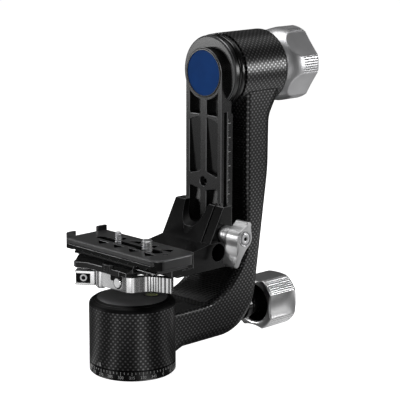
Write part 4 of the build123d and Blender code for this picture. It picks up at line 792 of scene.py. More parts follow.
# ---------------------------------------------------------------- carbon arm
BEND_X, BEND_Z, BEND_R = 56.5, 108.0, 57.0      # centre and radius of the arm's inner bend
STRIP_RUN = (9.0, 194.0)                        # the ribbed strip's start and end, from where the bend starts
STRIP_HALF = reach_of("arm_liner", "Y")[1]
STRIP_PROUD, STRIP_BACK = 0.5, 0.8              # how far the strip stands out and reaches back into the arm
STRIP_RIB = ((0.0, 0.0), (0.18, 1.0), (0.55, 1.0), (0.73, 0.0))     # one rib: share of pitch and of height
COLLAR_FRONT, COLLAR_REAR = reach_of("tilt_collar", "X")
COLLAR_R = reach_of("tilt_collar", "Y")[1]
COLLAR_BORE = 21.6
# points of the collar's grooved rim: behind its front, and under its full radius
COLLAR_RIM = ((0.0, 1.1), (0.3, 0.5), (0.9, 0.1), (2.3, 0.0), (2.5, 0.4), (2.8, 0.4), (3.0, 0.0),
              (5.2, 0.0), (5.8, 0.2), (6.1, 0.7), (6.1, 3.6))
CAP_EDGE_R, CAP_CHAMFER = 30.6, 0.25            # the cap's rim takes painted shade outside this radius
INDEX_MARK_Z, INDEX_MARK_WIDTH = (10.6, 14.0), 0.9


def inner_path(proud):
    """Point and direction along the arm's inner face, for a distance from the bend's start."""
    radius = BEND_R - proud

    def at(distance, offset):
        r = radius - offset
        bend_length = radius * pi / 2
        if distance < 0:
            return (BEND_X + distance, BEND_Z - r)
        if distance < bend_length:
            a = distance / radius
            return (BEND_X + r * sin(a), BEND_Z - r * cos(a))
        return (BEND_X + r, BEND_Z + distance - bend_length)
    return at


def ribbed_strip(pitch, depth):
    """Strip along the arm's inner face with ribs across it."""
    at = inner_path(STRIP_PROUD)
    start, end = STRIP_RUN
    rings = []
    for i in range(int((end - start) / pitch)):
        for part, height in STRIP_RIB:
            distance = start + (i + part) * pitch
            front, back = at(distance, height * depth - depth), at(distance, -depth - STRIP_BACK)
            rings.append([(front[0], -STRIP_HALF, front[1]), (front[0], STRIP_HALF, front[1]),
                          (back[0], STRIP_HALF, back[1]), (back[0], -STRIP_HALF, back[1])])
    return loft(rings, cap_start=True, cap_end=True)


class HEAD_OT_carbon_arm(bpy.types.Operator):
    """Finish the carbon arm, its ribbed strip, collar, cap and spirit level"""
    bl_idname = "tripod_head.carbon_arm"
    bl_label = "Carbon Arm"

    def execute(self, context):
        sizes = context.scene.head_sizes
        paint("carbon", "arm_shell")
        add_piece("ribbed_strip", ribbed_strip(sizes.rib_pitch, sizes.rib_height), "rubber", "arm",
                  ("arm_liner",), sharp=25.0)
        paint("deep", "leg_fairing")
        # painted shade: the collar takes the near-black shade finish all over
        paint("shadow", "pan_collar")
        rim = [(COLLAR_FRONT + behind, COLLAR_R - under) for behind, under in COLLAR_RIM]
        profile = [(COLLAR_FRONT, COLLAR_BORE), *rim, (COLLAR_REAR, rim[-1][1]), (COLLAR_REAR, COLLAR_BORE)]
        collar = lathe("X", (0.0, TILT_Z), profile, 128)
        add_piece("tilt_collar_grooved", collar, "gloss", "arm", ("tilt_collar",), sharp=40.0)
        # painted shade on the cap's sides and on its rim outside CAP_EDGE_R
        refined("pan_cap", "grey", "arm", CAP_CHAMFER,
                shadows=lambda at, direction: direction.z < 0.95 or hypot(at.x, at.y) > CAP_EDGE_R)
        mark = bar_form((-RING_R - 0.1, -RING_R + 0.4), (-INDEX_MARK_WIDTH, 0.0), INDEX_MARK_Z)
        add_piece("index_mark", mark, "ink", "arm", sharp=30.0)
        paint("black", "level_ring", "tilt_rear_cover", "pan_knob_collar")
        paint("fluid", "level_vial")
        return {"FINISHED"}


# ---------------------------------------------------------------- knobs
def off_centre(angle, first, count):
    """Angle measured from the nearest of several evenly spread middles."""
    step = 360.0 / count
    return (angle - first + step / 2) % step - step / 2


def side_radius(angle, radius, lobes, half_lobe, first, dip):
    """Radius of a knob's side between two lobes; dip is its hollow, negative where it bulges."""
    step = 360.0 / lobes
    off = radians(off_centre(angle, first + step / 2, lobes))
    half_side = radians(step / 2 - half_lobe)
    half_chord, chord_at = radius * sin(half_side), radius * cos(half_side)
    depth = max(abs(dip), 0.02)
    bend = (half_chord ** 2 + depth ** 2) / (2 * depth)
    if dip > 0:
        middle = chord_at - depth + bend
        inside = bend ** 2 - (middle * sin(off)) ** 2
        return middle * cos(off) - sqrt(inside) if inside > 0 else 1e3
    middle = chord_at + depth - bend
    return middle * cos(off) + sqrt(max(bend ** 2 - (middle * sin(off)) ** 2, 0.0))


def knurl(angle, first, lobes, half_lobe, count, depth):
    """Depth of the grip's grooves at an angle; zero outside the lobes."""
    off = off_centre(angle, first, lobes)
    if abs(off) >= half_lobe:
        return 0.0
    phase = (off + half_lobe) / (2 * half_lobe) * count
    return depth * max(0.0, -0.25 - cos(2 * pi * phase)) / 0.75


def smooth(t):
    """Step from 0 to 1 that starts and ends softly."""
    t = min(1.0, max(0.0, t))
    return t * t * (3 - 2 * t)


def soft_min(a, b, width):
    """The smaller of two values, rounded where they meet."""
    h = max(width - abs(a - b), 0.0) / width
    return min(a, b) - h * h * width * 0.25


def round_shape(radius):
    """The same radius at every angle."""
    return lambda angle: radius


def in_grip_groove(centre_z, run, radii, first, lobes, half_lobe):
    """Test for faces at the bottom of a grip's grooves, which take painted shade."""
    def chosen(at, direction):
        angle = degrees(atan2(at.z - centre_z, at.y))
        return (run[0] < at.x < run[1] and abs(off_centre(angle, first, lobes)) < half_lobe
                and radii[0] < hypot(at.y, at.z - centre_z) < radii[1])
    return chosen


CAP_SEAT_R = 12.1       # seat of a knob's end cap


class HEAD_OT_pan_knob(bpy.types.Operator):
    """Model the lower clamping knob as a lobed cup with ribbed grips"""
    bl_idname = "tripod_head.pan_knob"
    bl_label = "Pan Knob"

    def execute(self, context):
        depth = context.scene.head_sizes.knurl_depth
        radius, bore, floor = 26.0, 18.0, 177.5
        lobes, half_lobe, first, grooves_each = 4, 19.0, 45.0, 8
        front, rear, bulge_from = 151.5, 186.5, 176.0
        mouth_dip, end_dip = 1.7, -1.0
        axis = (0.0, PAN_KNOB_Z)

        def side(angle, dip):
            return min(side_radius(angle, radius, lobes, half_lobe, first, dip), radius + 1.0)

        def outer(x, inset=0.0, grooves=1.0):
            t = smooth((x - bulge_from) / (rear - bulge_from))

            def radius_at(angle):
                grip = radius - grooves * knurl(angle, first, lobes, half_lobe, grooves_each, depth)
                between = side(angle, mouth_dip) * (1 - t) + side(angle, end_dip) * t
                return soft_min(grip, between, 0.4) - inset
            return radius_at

        shapes = [(floor, round_shape(bore)), (153.6, round_shape(bore)), (152.2, round_shape(bore + 0.4)),
                  (151.7, round_shape(bore + 1.0)), (front, round_shape(bore + 1.7)),
                  (front, outer(front, 1.7, 0.0)), (151.65, outer(front, 0.9, 0.0)),
                  (152.1, outer(front, 0.3, 0.0)), (152.9, outer(152.9, 0.0, 0.0))]
        shapes += [(x, outer(x)) for x in (154.2, 160.0, 166.0, 172.0, 178.0, 183.4)]
        shapes += [(184.9, outer(184.9, 0.0, 0.4)), (185.6, outer(185.6, 0.6, 0.0)),
                   (186.2, outer(186.2, 1.2, 0.0)), (rear, outer(rear, 2.2, 0.0)),
                   (rear, round_shape(CAP_SEAT_R + 0.6)), (rear - 0.4, round_shape(CAP_SEAT_R + 0.1)),
                   (rear - 2.0, round_shape(CAP_SEAT_R))]
        rings = [turn_points("X", axis, along, shape, 720) for along, shape in shapes]
        cup = add_piece("pan_knob_cup", loft(rings), "silver", "pan_knob", ("pan_knob_grip",), sharp=60.0)
        run, radii = (153.5, 184.5), (bore + 0.5, radius - 0.5 * depth)
        # faces at the bottom of the grip's grooves get painted shade
        darken(cup, in_grip_groove(PAN_KNOB_Z, run, radii, first, lobes, half_lobe), "groove")
        hub_front, hub_bore, hub_r = 143.0, 8.1, 10.5
        hub = lathe("X", axis, [(hub_front, hub_bore), (hub_front, hub_r - 0.9), (hub_front + 0.8, hub_r),
                                (floor - 0.4, hub_r), (floor - 0.4, bore + 0.3), (rear - 2.0, bore + 0.3),
                                (rear - 2.0, hub_bore)])
        add_piece("pan_knob_hub", hub, "gloss", "pan_knob")
        lining = lathe("X", axis, [(floor, bore - 0.05), (154.6, bore - 0.05), (154.6, bore + 0.2),
                                   (floor, bore + 0.2)], 128)
        add_piece("pan_knob_bore", lining, "gloss", "pan_knob")
        paint("gloss", "pan_knob_shaft", "pan_knob_spacer")
        paint("silver", "pan_knob_cap")
        paint("plastic", "pan_brake_shoe")
        return {"FINISHED"}


class HEAD_OT_tilt_knob(bpy.types.Operator):
    """Model the upper clamping knob as a domed cup with five ribbed grips"""
    bl_idname = "tripod_head.tilt_knob"
    bl_label = "Tilt Knob"

    def execute(self, context):
        depth = context.scene.head_sizes.knurl_depth
        radius, dip = 34.2, 0.3
        lobes, half_lobe, first, grooves_each = 5, 13.8, 33.0, 7
        front, rear = reach_of("tilt_knob_grip", "X")
        shoulder, bore, dome_steps = 181.5, 6.1, 30
        middle_x, middle_r, bend = arc_through((front, 26.0), (170.0, 31.6), (shoulder, radius))

        def dome(x):
            if x >= shoulder:
                return radius
            return middle_r + sqrt(bend ** 2 - (x - middle_x) ** 2)

        def shape(x, inset=0.0, grooves=None):
            if grooves is None:
                grooves = min(1.0, max(0.0, (x - shoulder + 1.0) / 2.0))

            def radius_at(angle):
                grip = dome(x) - grooves * knurl(angle, first, lobes, half_lobe, grooves_each, depth)
                return soft_min(grip, side_radius(angle, radius, lobes, half_lobe, first, dip), 0.3) - inset
            return radius_at

        shapes = [(front + 1.0, round_shape(bore)), (front, round_shape(bore + 0.9)),
                  (front, round_shape(24.6)), (front + 0.15, round_shape(25.5))]
        start, end = front + 0.7, rear - 2.3
        for i in range(dome_steps + 1):
            x = start + (end - start) * i / dome_steps
            shapes.append((x, shape(x)))
        shapes += [(rear - 1.6, shape(rear, 0.05)), (rear - 1.0, shape(rear, 0.5, 0.4)),
                   (rear - 0.3, shape(rear, 1.2, 0.0)), (rear, shape(rear, 2.2, 0.0)),
                   (rear, round_shape(CAP_SEAT_R + 0.6)), (rear - 0.4, round_shape(CAP_SEAT_R + 0.1)),
                   (rear - 2.0, round_shape(CAP_SEAT_R)), (rear - 2.0, round_shape(bore))]
        rings = [turn_points("X", (0.0, TILT_Z), along, radius_at, 900) for along, radius_at in shapes]
        cup = loft([*rings, rings[0]])
        body = add_piece("tilt_knob_body", cup, "satin", "tilt_knob", ("tilt_knob_grip",), sharp=40.0)
        run, radii = (183.0, 200.6), (30.0, radius - 0.5 * depth)
        # faces at the bottom of the grip's grooves get painted shade
        darken(body, in_grip_groove(TILT_Z, run, radii, first, lobes, half_lobe), "groove")
        paint("silver", "tilt_knob_cap")
        paint("steel", "tilt_knob_shaft")
        paint("plastic", "tilt_brake_disc")
        return {"FINISHED"}


# ---------------------------------------------------------------- swing bar and bracket
SCALE_X, SCALE_Z = 93.9, (134.0, 216.0)         # where the height scale lies on the bar's side
SCALE_Y = (-22.74, -22.4)                       # from just proud of that side to inside it
SCALE_MARKS = ((10, 3.4, 0.22), (5, 1.6, 0.12), (1, 1.0, 0.12))     # every so many: length and half height


class HEAD_OT_swing_bar(bpy.types.Operator):
    """Finish the hanging bar, its height scale, its badge and its screws"""
    bl_idname = "tripod_head.swing_bar"
    bl_label = "Swing Bar"

    def execute(self, context):
        sizes = context.scene.head_sizes
        refined("swing_bar", "black", "swing_arm", sizes.edge_chamfer)
        low, high = SCALE_Z
        marks = []
        for n in range(int((high - low) / sizes.scale_step)):
            z = low + n * sizes.scale_step
            length, half = next(mark[1:] for mark in SCALE_MARKS if n % mark[0] == 0)
            marks.append(bar_form((SCALE_X, SCALE_X + length), SCALE_Y, (z - half, z + half)))
        add_piece("height_scale", join_forms(*marks), "ink", "swing_arm", sharp=30.0)
        paint("gloss", "badge_ring", "bar_screw")
        paint("blue", "badge_disc")
        paint("steel", "bar_stop_screw", "tilt_spindle", "head_bolts", "tilt_spindle_nut",
              "tilt_bearing_inner_rings")
        return {"FINISHED"}


SCOOP_R, SCOOP_RISE = 15.5, 33.0        # scoop in the bracket's slope and the rise of its floor
SCOOP_AT = Vector((59.5, 3.0, 128.0))   # start of the scoop's axis
SCOOP_RUN = (-10.0, 30.0)               # the cutting form reaches from here to here along that axis
# faces of the older scoop inside this box also take painted shade
SCOOP_MOUTH_X, SCOOP_MOUTH_Z = (52.0, 86.0), (107.0, 144.0)


class HEAD_OT_bracket(bpy.types.Operator):
    """Finish the bracket and its clamping cheek"""
    bl_idname = "tripod_head.bracket"
    bl_label = "Bracket"

    def execute(self, context):
        edge = context.scene.head_sizes.edge_chamfer
        rise = radians(SCOOP_RISE)
        along = Vector((cos(rise), 0.0, sin(rise)))

        def scoop_ring(out, count=60):
            x, y, z = SCOOP_AT + along * out
            turns = [radians(360 * k / count) for k in range(count)]
            return [(x - SCOOP_R * sin(rise) * cos(a), y + SCOOP_R * sin(a), z + SCOOP_R * cos(rise) * cos(a))
                    for a in turns]

        # faces inside the scoop get painted shade
        def in_scoop(at, direction):
            out = (at - SCOOP_AT).dot(along)
            away = at - SCOOP_AT - along * out
            on_wall = -11.0 < out < 40.0 and abs(away.length - SCOOP_R) < 0.6
            in_mouth = (SCOOP_MOUTH_X[0] < at.x < SCOOP_MOUTH_X[1] and abs(at.y - SCOOP_AT.y) < SCOOP_R
                        and SCOOP_MOUTH_Z[0] < at.z < SCOOP_MOUTH_Z[1])
            inward = direction.x < 0.3 and (abs(direction.y) > 0.12 or direction.z > 0.5)
            return (on_wall and direction.dot(away) < -10.0) or (in_mouth and inward)

        scoop = loft([scoop_ring(out) for out in SCOOP_RUN], cap_start=True, cap_end=True)
        refined("bracket_body", "deep", "bracket", edge, tools=(scoop,), shadows=in_scoop, fine=0.3)
        refined("bracket_cheek", "deep", "cheek", edge)
        paint("steel", "cheek_pins")
        return {"FINISHED"}


WING_AT = middle_of("wing_knob_cap", "XZ")
WING_FRONT, WING_REAR = reach_of("wing_knob_grip", "Y")
WING_TILT = 24.0        # lean of the wing from the vertical
WING_HUB_R, WING_TIP_R = 8.2, 2.8
WING_REACHES = ((12.8, 1.0), (24.2, -1.0))      # short end up, long end down
WING_WIDTHS = ((0.0, 7.7), (4.6, 6.8), (11.6, 4.8), (17.6, 3.3))
WING_BLEND = 2.6        # softness of the corner between the hub and the wings
# turned parts of the wing knob: place along Y and radius
WING_CAP = ((-57.0, 0.02), (-57.2, 1.5), (-58.2, 1.6), (-58.4, 1.9), (-58.4, 4.9), (-58.25, 5.15),
            (-57.6, 5.2), (-57.6, 5.9), (-58.25, 5.95), (-58.35, 6.1), (-58.35, 6.5), (-58.1, 6.75),
            (-56.02, 6.78), (-56.02, 0.02))
WING_SOCKET = ((-58.45, 0.02), (-58.45, 1.5), (-57.6, 1.5), (-57.6, 0.02))
WING_NECK = ((-42.38, 3.05), (-42.38, 8.1), (-42.1, 8.2), (-33.4, 8.2), (-32.6, 7.7), (-31.4, 7.2),
             (-31.2, 6.9), (-31.2, 3.05))
# dark band round the neck, painted groove shade standing in for the neck's groove
WING_NECK_GROOVE = ((-37.9, 7.9), (-37.9, 8.26), (-37.2, 8.26), (-37.2, 7.9))


def blade_distance(x, z, reach, sign):
    """How far a point lies outside one tapered wing."""
    lean = radians(WING_TILT)
    along = sign * (x * sin(lean) + z * cos(lean))
    across = abs(x * cos(lean) - z * sin(lean))
    if along > reach:
        return hypot(along - reach, across) - WING_TIP_R
    if along < 0:
        return hypot(along, across) - WING_WIDTHS[0][1]
    widths = [pair for pair in WING_WIDTHS if pair[0] < reach - WING_TIP_R] + [(reach, WING_TIP_R)]
    for (near, near_half), (far, far_half) in zip(widths, widths[1:]):
        if along <= far:
            return across - near_half - (far_half - near_half) * (along - near) / (far - near)
    return across - WING_TIP_R


def wing_radius(angle):
    """Distance from the knob's centre to its outline at an angle from +Z towards +X, found by halving."""
    direction = (sin(radians(angle)), cos(radians(angle)))

    def outside(distance):
        x, z = direction[0] * distance, direction[1] * distance
        edge = distance - WING_HUB_R
        for reach, sign in WING_REACHES:
            edge = soft_min(edge, blade_distance(x, z, reach, sign), WING_BLEND)
        return edge > 0.0
    low, high = 4.0, 34.0
    for _ in range(26):
        middle = (low + high) / 2
        low, high = (low, middle) if outside(middle) else (middle, high)
    return low


class HEAD_OT_wing_knob(bpy.types.Operator):
    """Model the wing knob that clamps the bracket"""
    bl_idname = "tripod_head.wing_knob"
    bl_label = "Wing Knob"

    def execute(self, context):
        count = 360
        outline = [wing_radius(360.0 * i / count) for i in range(count)]

        def ring(y, radii):
            turns = [2 * pi * i / count for i in range(count)]
            return [(WING_AT[0] + radius * sin(a), y, WING_AT[1] + radius * cos(a))
                    for a, radius in zip(turns, radii)]

        def wings(y, inset):
            return ring(y, [radius - inset for radius in outline])

        def hub(y, radius):
            return ring(y, [radius] * count)

        rings = [hub(-56.0, 3.1), hub(-56.0, 6.82), hub(-57.8, 6.86), wings(WING_FRONT, 0.8),
                 wings(WING_FRONT + 0.1, 0.4), wings(WING_FRONT + 0.5, 0.08), wings(WING_FRONT + 1.0, 0.0),
                 wings(WING_REAR - 1.2, 0.0), wings(WING_REAR - 0.5, 0.15), wings(WING_REAR - 0.1, 0.5),
                 wings(WING_REAR, 1.0), hub(WING_REAR, 3.1)]
        add_piece("wing_knob_body", loft(rings), "wing", "wing_knob", ("wing_knob_grip",), sharp=40.0)
        cap = lathe("Y", WING_AT, WING_CAP)
        add_piece("wing_knob_disc", cap, "satin", "wing_knob", ("wing_knob_cap",), sharp=40.0)
        collar = lathe("Y", WING_AT, WING_NECK)
        add_piece("wing_knob_neck", collar, "wing", "wing_knob", ("wing_knob_collar",), sharp=40.0)
        # painted shade: a dark hexagon filling the cap's socket
        socket = lathe("Y", WING_AT, WING_SOCKET, 6)
        add_piece("wing_knob_socket", socket, "shadow", "wing_knob", sharp=30.0)
        # painted shade: a dark band where the neck's groove lies
        groove = lathe("Y", WING_AT, WING_NECK_GROOVE)
        add_piece("wing_knob_groove_shade_band", groove, "groove", "wing_knob", sharp=30.0)
        paint("steel", "wing_knob_stud")
        return {"FINISHED"}


# ---------------------------------------------------------------- clamp, lever, plate and screws
JAW_RELIEF = ((-40.0, -14.6), (-60.0, 70.0), (80.0, 89.8))  # space under the jaw, clear of the lever
REST_AT, REST_R, REST_Z = (-20.5, 4.8), 7.0, (93.2, 98.0)   # ribbed finger rest on the jaw
REST_RIB, REST_RIBS = 0.45, 24                              # height and number of its ribs in a full turn
REST_FACING = (95.0, 265.0)                                 # angles between which it has ribs


class HEAD_OT_clamp(bpy.types.Operator):
    """Finish the quick-release clamp and the ribs of its finger rest"""
    bl_idname = "tripod_head.clamp"
    bl_label = "Clamp"

    def execute(self, context):
        edge = context.scene.head_sizes.edge_chamfer
        refined("clamp_body", "deep", "bracket", edge)
        refined("clamp_jaw", "deep", "jaw", edge, tools=(bar_form(*JAW_RELIEF),))

        def plain(angle):
            return REST_R - 0.5

        def ribbed(angle):
            if REST_FACING[0] < angle < REST_FACING[1]:
                return REST_R + REST_RIB * max(0.0, sin(radians(angle) * REST_RIBS))
            return plain(angle)

        low, high = REST_Z
        rings = [turn_points("Z", REST_AT, z, shape, 360)
                 for z, shape in ((low, plain), (low + 0.3, ribbed), (high - 0.3, ribbed), (high, plain))]
        add_piece("finger_rest_ribs", loft(rings, cap_start=True, cap_end=True), "black", "jaw", sharp=50.0)
        paint("steel", "clamp_screws", "jaw_guide_pins", "lever_pin")
        return {"FINISHED"}


BLOCK_FACE = ((-30.8, 41.0), (-20.4, 27.6))     # outer face of the lever's block, seen from above
HANDLE_FACE = ((-15.6, 22.0), (-13.6, -8.0))    # outer face of the lever's arm beside the button
LEVER_Z = (73.4, 86.6)
SLOT_RUN, SLOT_Z = (1.6, 13.4), (76.4, 84.2)    # slot in the block's outer face: along it and in height
SLOT_MOUTH = 3.6                                # it opens wider over this length before the block's end
SLOT_DEPTH = 3.6
SLOT_SCREW_AT, SLOT_SCREW_R = (7.4, 80.3), 3.1
SLOT_SCREW_SOCKET_R = 1.8
SHADE_PATCH_RUN, SHADE_PATCH_FOOT, SHADE_PATCH_CORNER = (10.4, 24.6), 81.2, 0.8      # dark patch beside the button: painted shade where the arm's pocket lies
SHADE_PATCH_PROUD = 0.06


def face_prism(line, outline, out, deep):
    """A form over an outline drawn on an upright face: distance along it, height; from out to deep."""
    (ax, ay), (bx, by) = line
    length = hypot(bx - ax, by - ay)
    ux, uy = (bx - ax) / length, (by - ay) / length

    def at(point, depth):
        s, z = point
        return (ax + ux * s - uy * depth, ay + uy * s + ux * depth, z)
    return loft([[at(p, out) for p in outline], [at(p, deep) for p in outline]], cap_start=True, cap_end=True)


def rounded_box(s, z, corner):
    """Outline of a rectangle with round corners."""
    points = []
    for cx, cz, start in ((s[1] - corner, z[1] - corner, 0), (s[0] + corner, z[1] - corner, 90),
                          (s[0] + corner, z[0] + corner, 180), (s[1] - corner, z[0] + corner, 270)):
        for k in range(5):
            a = radians(start + 22.5 * k)
            points.append((cx + corner * cos(a), cz + corner * sin(a)))
    return points


def curve_through(points, steps):
    """Smooth run of points through the given ones."""
    ends = [points[0], *points, points[-1]]
    run = []
    for before, start, end, after in zip(ends, ends[1:], ends[2:], ends[3:]):
        for k in range(steps):
            t = k / steps
            run.append(tuple(0.5 * (2 * b + (c - a) * t + (2 * a - 5 * b + 4 * c - d) * t * t
                                    + (3 * b - a - 3 * c + d) * t ** 3)
                             for a, b, c, d in zip(before, start, end, after)))
    return run + [points[-1]]


LEVER_AT = middle_of("lever_pin", "XY")
PIN_HOLE_R = 2.25
HANDLE_START = (-15.6, 22.0)
HANDLE_FRONT = ((-13.6, -8.0), (-10.6, -12.1), (-4.5, -14.6), (1.6, -17.0), (5.6, -22.0), (8.4, -28.0),
                (12.4, -36.6))
HANDLE_BACK = ((18.6, -33.0), (14.2, -23.6), (8.8, -15.0), (0.0, -8.6), (-6.6, -4.0), (-8.2, 22.0))
GROOVE_DEPTH = 0.6      # grooves across the lever's free end
BUTTON_AT = middle_of("lock_button", "YZ")
BUTTON_R, BUTTON_STEM_R = 4.6, 1.9
SEAT_R, STEM_HOLE_R = 5.3, 2.3      # the button sinks into its seat, and its stem runs in the hole behind it
SEAT_X, STEM_HOLE_END = -9.8, -4.0


def handle_outline(groove_count):
    """The lever's arm seen from above with the grooves of its grip, and the deepest points of those."""
    front = curve_through(HANDLE_FRONT, 60)
    grooved, valleys = [], []
    start = len(front) // 2
    span = len(front) - start - 6
    for i, (x, y) in enumerate(front):
        depth = 0.0
        if start <= i < start + span:
            depth = GROOVE_DEPTH * max(0.0, -0.2 - cos(2 * pi * (i - start) * groove_count / span)) / 0.8
        (px, py), (qx, qy) = front[max(i - 1, 0)], front[min(i + 1, len(front) - 1)]
        length = hypot(qx - px, qy - py)
        grooved.append((x - (qy - py) / length * depth, y + (qx - px) / length * depth))
        if depth > GROOVE_DEPTH / 2:
            valleys.append(grooved[-1])
    return [HANDLE_START, *grooved, *HANDLE_BACK], valleys


class HEAD_OT_lever(bpy.types.Operator):
    """Finish the clamp's lever: its block with the slot, its ribbed grip and its safety button"""
    bl_idname = "tripod_head.lever"
    bl_label = "Lever"

    def execute(self, context):
        self.block(context.scene.head_sizes)
        self.handle(context.scene.head_sizes)
        self.button()
        return {"FINISHED"}

    def block(self, sizes):
        """The block at the pivot, with its open slot and the screw in it."""
        (near, far), (low, high) = SLOT_RUN, SLOT_Z
        slot = [(near - SLOT_MOUTH, low - 1.8), (near, low), (far, low), (far, high), (near, high),
                (near - SLOT_MOUTH, high + 1.8)]
        refined("lever_block", "bright", "lever", sizes.edge_chamfer,
                tools=(face_prism(BLOCK_FACE, slot, -2.0, SLOT_DEPTH),))
        # painted shade: a dark floor laid in the slot
        backing = [(near - 1.3, low - 0.1), (far + 0.05, low - 0.1), (far + 0.05, high + 0.1),
                   (near - 1.3, high + 0.1)]
        add_piece("lever_slot_floor", face_prism(BLOCK_FACE, backing, SLOT_DEPTH - 1.2, SLOT_DEPTH + 0.1),
                  "shadow", "lever", sharp=40.0)

        def disc(radius, count=24):
            turns = [2 * pi * k / count for k in range(count)]
            return [(SLOT_SCREW_AT[0] + radius * cos(a), SLOT_SCREW_AT[1] + radius * sin(a)) for a in turns]

        head = face_prism(BLOCK_FACE, disc(SLOT_SCREW_R), 1.2, 2.5)
        add_piece("lever_slot_screw", head, "steel", "lever", sharp=40.0)
        # painted shade: a dark disc where the screw's socket lies
        socket = face_prism(BLOCK_FACE, disc(SLOT_SCREW_SOCKET_R), 1.1, 2.5)
        add_piece("lever_slot_screw_socket", socket, "shadow", "lever", sharp=40.0)

    def handle(self, sizes):
        """The bent arm with its grooved grip, its barrel about the pin and the seat of the button."""
        low, high = LEVER_Z
        outline, valleys = handle_outline(sizes.grip_grooves)
        pin = plug("Z", LEVER_AT, [(low - 3.4, PIN_HOLE_R), (high + 3.4, PIN_HOLE_R)])
        seat = plug("X", BUTTON_AT, [(-20.0, SEAT_R), (SEAT_X, SEAT_R), (SEAT_X, STEM_HOLE_R),
                                     (STEM_HOLE_END, STEM_HOLE_R)])
        grip = carved(prism(outline, low, high), pin, seat)
        foot, top = low - 0.6, high + 0.6
        barrel = lathe("Z", LEVER_AT, [(foot, PIN_HOLE_R), (foot, 4.8), (foot + 0.4, 5.2), (top - 0.4, 5.2),
                                       (top, 4.8), (top, PIN_HOLE_R)], 64)
        handle = add_piece("lever_grip", join_forms(grip, barrel), "bright", "lever", ("lever_handle",),
                           sharp=32.0)

        def in_groove(at, direction):
            return abs(direction.z) < 0.5 and any(hypot(at.x - x, at.y - y) < 0.22 for x, y in valleys)

        # painted shade on the faces in the grip's grooves
        darken(handle, in_groove, "groove")
        # painted shade: a dark patch on the arm's face where its pocket lies
        window = rounded_box(SHADE_PATCH_RUN, (SHADE_PATCH_FOOT, high - 0.2), SHADE_PATCH_CORNER)
        shade_patch = face_prism(HANDLE_FACE, window, -SHADE_PATCH_PROUD, 1.0)
        add_piece("lever_pocket_shade", shade_patch, "shadow", "lever", sharp=40.0)

    def button(self):
        """The safety button and painted shade on the bottom of its seat."""
        bottom = (SEAT_X - 0.4, SEAT_X + 0.3)
        washer = lathe("X", BUTTON_AT, [(bottom[0], STEM_HOLE_R), (bottom[0], SEAT_R - 0.02),
                                        (bottom[1], SEAT_R - 0.02), (bottom[1], STEM_HOLE_R)], 48)
        add_piece("lock_button_seat", washer, "shadow", "lever", sharp=40.0)
        head = lathe("X", BUTTON_AT, [(-15.2, 0.02), (-15.2, BUTTON_R - 0.6), (-14.6, BUTTON_R),
                                      (-13.5, BUTTON_R), (-13.5, BUTTON_STEM_R), (-10.0, BUTTON_STEM_R),
                                      (-10.0, 0.02)], 48)
        add_piece("lock_button_head", head, "bright", "button", ("lock_button",), sharp=40.0)


POCKET_X, POCKET_Y, POCKET_Z = 20.5, (-56.5, 61.0), (103.2, 111.5)     # space of the plate's pockets, whose faces take painted shade
DOVETAIL_TOP = 107.0                                                   # its slanted sides lie under this; faces turned sideways below it take painted shade


class HEAD_OT_plate(bpy.types.Operator):
    """Finish the camera plate"""
    bl_idname = "tripod_head.plate"
    bl_label = "Camera Plate"

    def execute(self, context):
        edge = context.scene.head_sizes.edge_chamfer

        # painted shade on the pockets' faces and on the sideways faces low on the plate
        def in_pocket(at, direction):
            pocket = (abs(at.x) < POCKET_X and POCKET_Y[0] < at.y < POCKET_Y[1]
                      and POCKET_Z[0] < at.z < POCKET_Z[1])
            return pocket or (abs(direction.x) > 0.3 and at.z < DOVETAIL_TOP)

        refined("camera_plate", "plate", "plate", edge, shadows=in_pocket, fine=0.4)
        paint("steel", "plate_lock_pin")
        return {"FINISHED"}


THREAD_ROWS = 16        # rings of points in one turn of a thread
THREAD_DEPTH = 0.8
THREAD_END = 0.7        # length over which the shaft tapers off


def threaded_post(x, y, low, high, radius, pitch, count=48):
    """Screw shaft with a true helical thread and a flat, slightly tapered end."""
    rows = int((high - low) / pitch * THREAD_ROWS)
    rings = []
    for k in range(rows + 1):
        z = low + (high - low) * k / rows
        fade = min(1.0, (high - z) / THREAD_END)
        ring = []
        for i in range(count):
            turn = 2 * pi * i / count
            phase = ((z - low) / pitch - i / count) % 1.0
            cut = THREAD_DEPTH * min(1.0, max(0.0, 1.35 * abs(2 * phase - 1) - 0.1))
            r = (radius - cut) * fade + (radius - THREAD_DEPTH) * (1 - fade)
            ring.append((x + r * cos(turn), y + r * sin(turn), z))
        rings.append(ring)
    return loft(rings, cap_start=True, cap_end=True)


SCREWS = (      # solid, body, radius and visible pitch
    ("small_camera_screw", "small_screw", 25.4 / 8, 2.0),
    ("large_camera_screw", "large_screw", 25.4 * 3 / 16, 2.1),
)
SHAFT_FOOT, SCREW_HEAD_Z = 104.0, (101.4, 104.98)


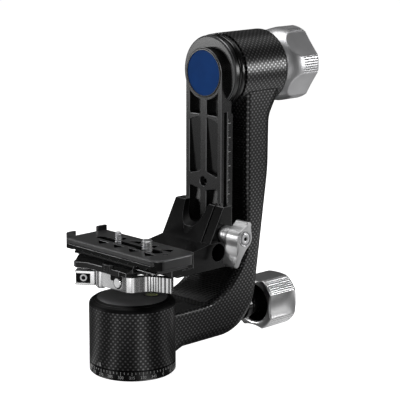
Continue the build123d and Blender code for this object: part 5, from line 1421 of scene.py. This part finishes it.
class HEAD_OT_camera_screws(bpy.types.Operator):
    """Model the two camera screws with their threads"""
    bl_idname = "tripod_head.camera_screws"
    bl_label = "Camera Screws"

    def execute(self, context):
        low, high = SCREW_HEAD_Z
        for name, body, radius, pitch in SCREWS:
            y = middle_of(name, "Y")[0]
            shaft = threaded_post(0.0, y, SHAFT_FOOT, reach_of(name, "Z")[1], radius, pitch)
            rim = radius + 2.6
            head = lathe("Z", (0.0, y), [(low, 0.05), (low, rim - 0.4), (low + 0.5, rim), (104.6, rim),
                                         (high, rim - 0.3), (high, 0.05)], 64)
            add_piece(name + "_thread", join_forms(shaft, head), "steel", body, (name,), sharp=75.0)
        return {"FINISHED"}


class HEAD_OT_inner_parts(bpy.types.Operator):
    """Finish the races, balls and fasteners inside the head"""
    bl_idname = "tripod_head.inner_parts"
    bl_label = "Inner Parts"

    def execute(self, context):
        paint("steel", "pan_bearing_outer_rings", "pan_bearing_balls", "tilt_bearing_outer_rings",
              "tilt_bearing_balls", "rear_cover_screws")
        return {"FINISHED"}


# ---------------------------------------------------------------- panel and start
OPERATORS = (HEAD_OT_base_ring, HEAD_OT_carbon_arm, HEAD_OT_pan_knob, HEAD_OT_tilt_knob,
             HEAD_OT_swing_bar, HEAD_OT_bracket, HEAD_OT_wing_knob, HEAD_OT_clamp, HEAD_OT_lever,
             HEAD_OT_plate, HEAD_OT_camera_screws, HEAD_OT_inner_parts, HEAD_OT_stage)


class HEAD_PT_panel(bpy.types.Panel):
    """Sizes, colours and pieces of the tripod head"""
    bl_label = "Tripod Head"
    bl_idname = "HEAD_PT_panel"
    bl_space_type = "VIEW_3D"
    bl_region_type = "UI"
    bl_category = "Tripod Head"

    def draw(self, context):
        layout = self.layout
        for group in (context.scene.head_sizes, context.scene.head_colours):
            box = layout.box()
            for key in group.__annotations__:
                box.prop(group, key)
        for operator in OPERATORS:
            layout.operator(operator.bl_idname)


CLASSES = (HeadSizes, HeadColours, *OPERATORS, HEAD_PT_panel)


def register():
    """Make the classes known and hang the sizes and colours on the scene."""
    for entry in CLASSES:
        bpy.utils.register_class(entry)
    bpy.types.Scene.head_sizes = bpy.props.PointerProperty(type=HeadSizes)
    bpy.types.Scene.head_colours = bpy.props.PointerProperty(type=HeadColours)


def unregister():
    """Take away what register adds."""
    del bpy.types.Scene.head_colours
    del bpy.types.Scene.head_sizes
    for entry in reversed(CLASSES):
        bpy.utils.unregister_class(entry)


def main():
    """Build every piece and the stage."""
    register()
    for operator in OPERATORS:
        group, name = operator.bl_idname.split(".")
        getattr(getattr(bpy.ops, group), name)()


if __name__ == "__main__":
    main()
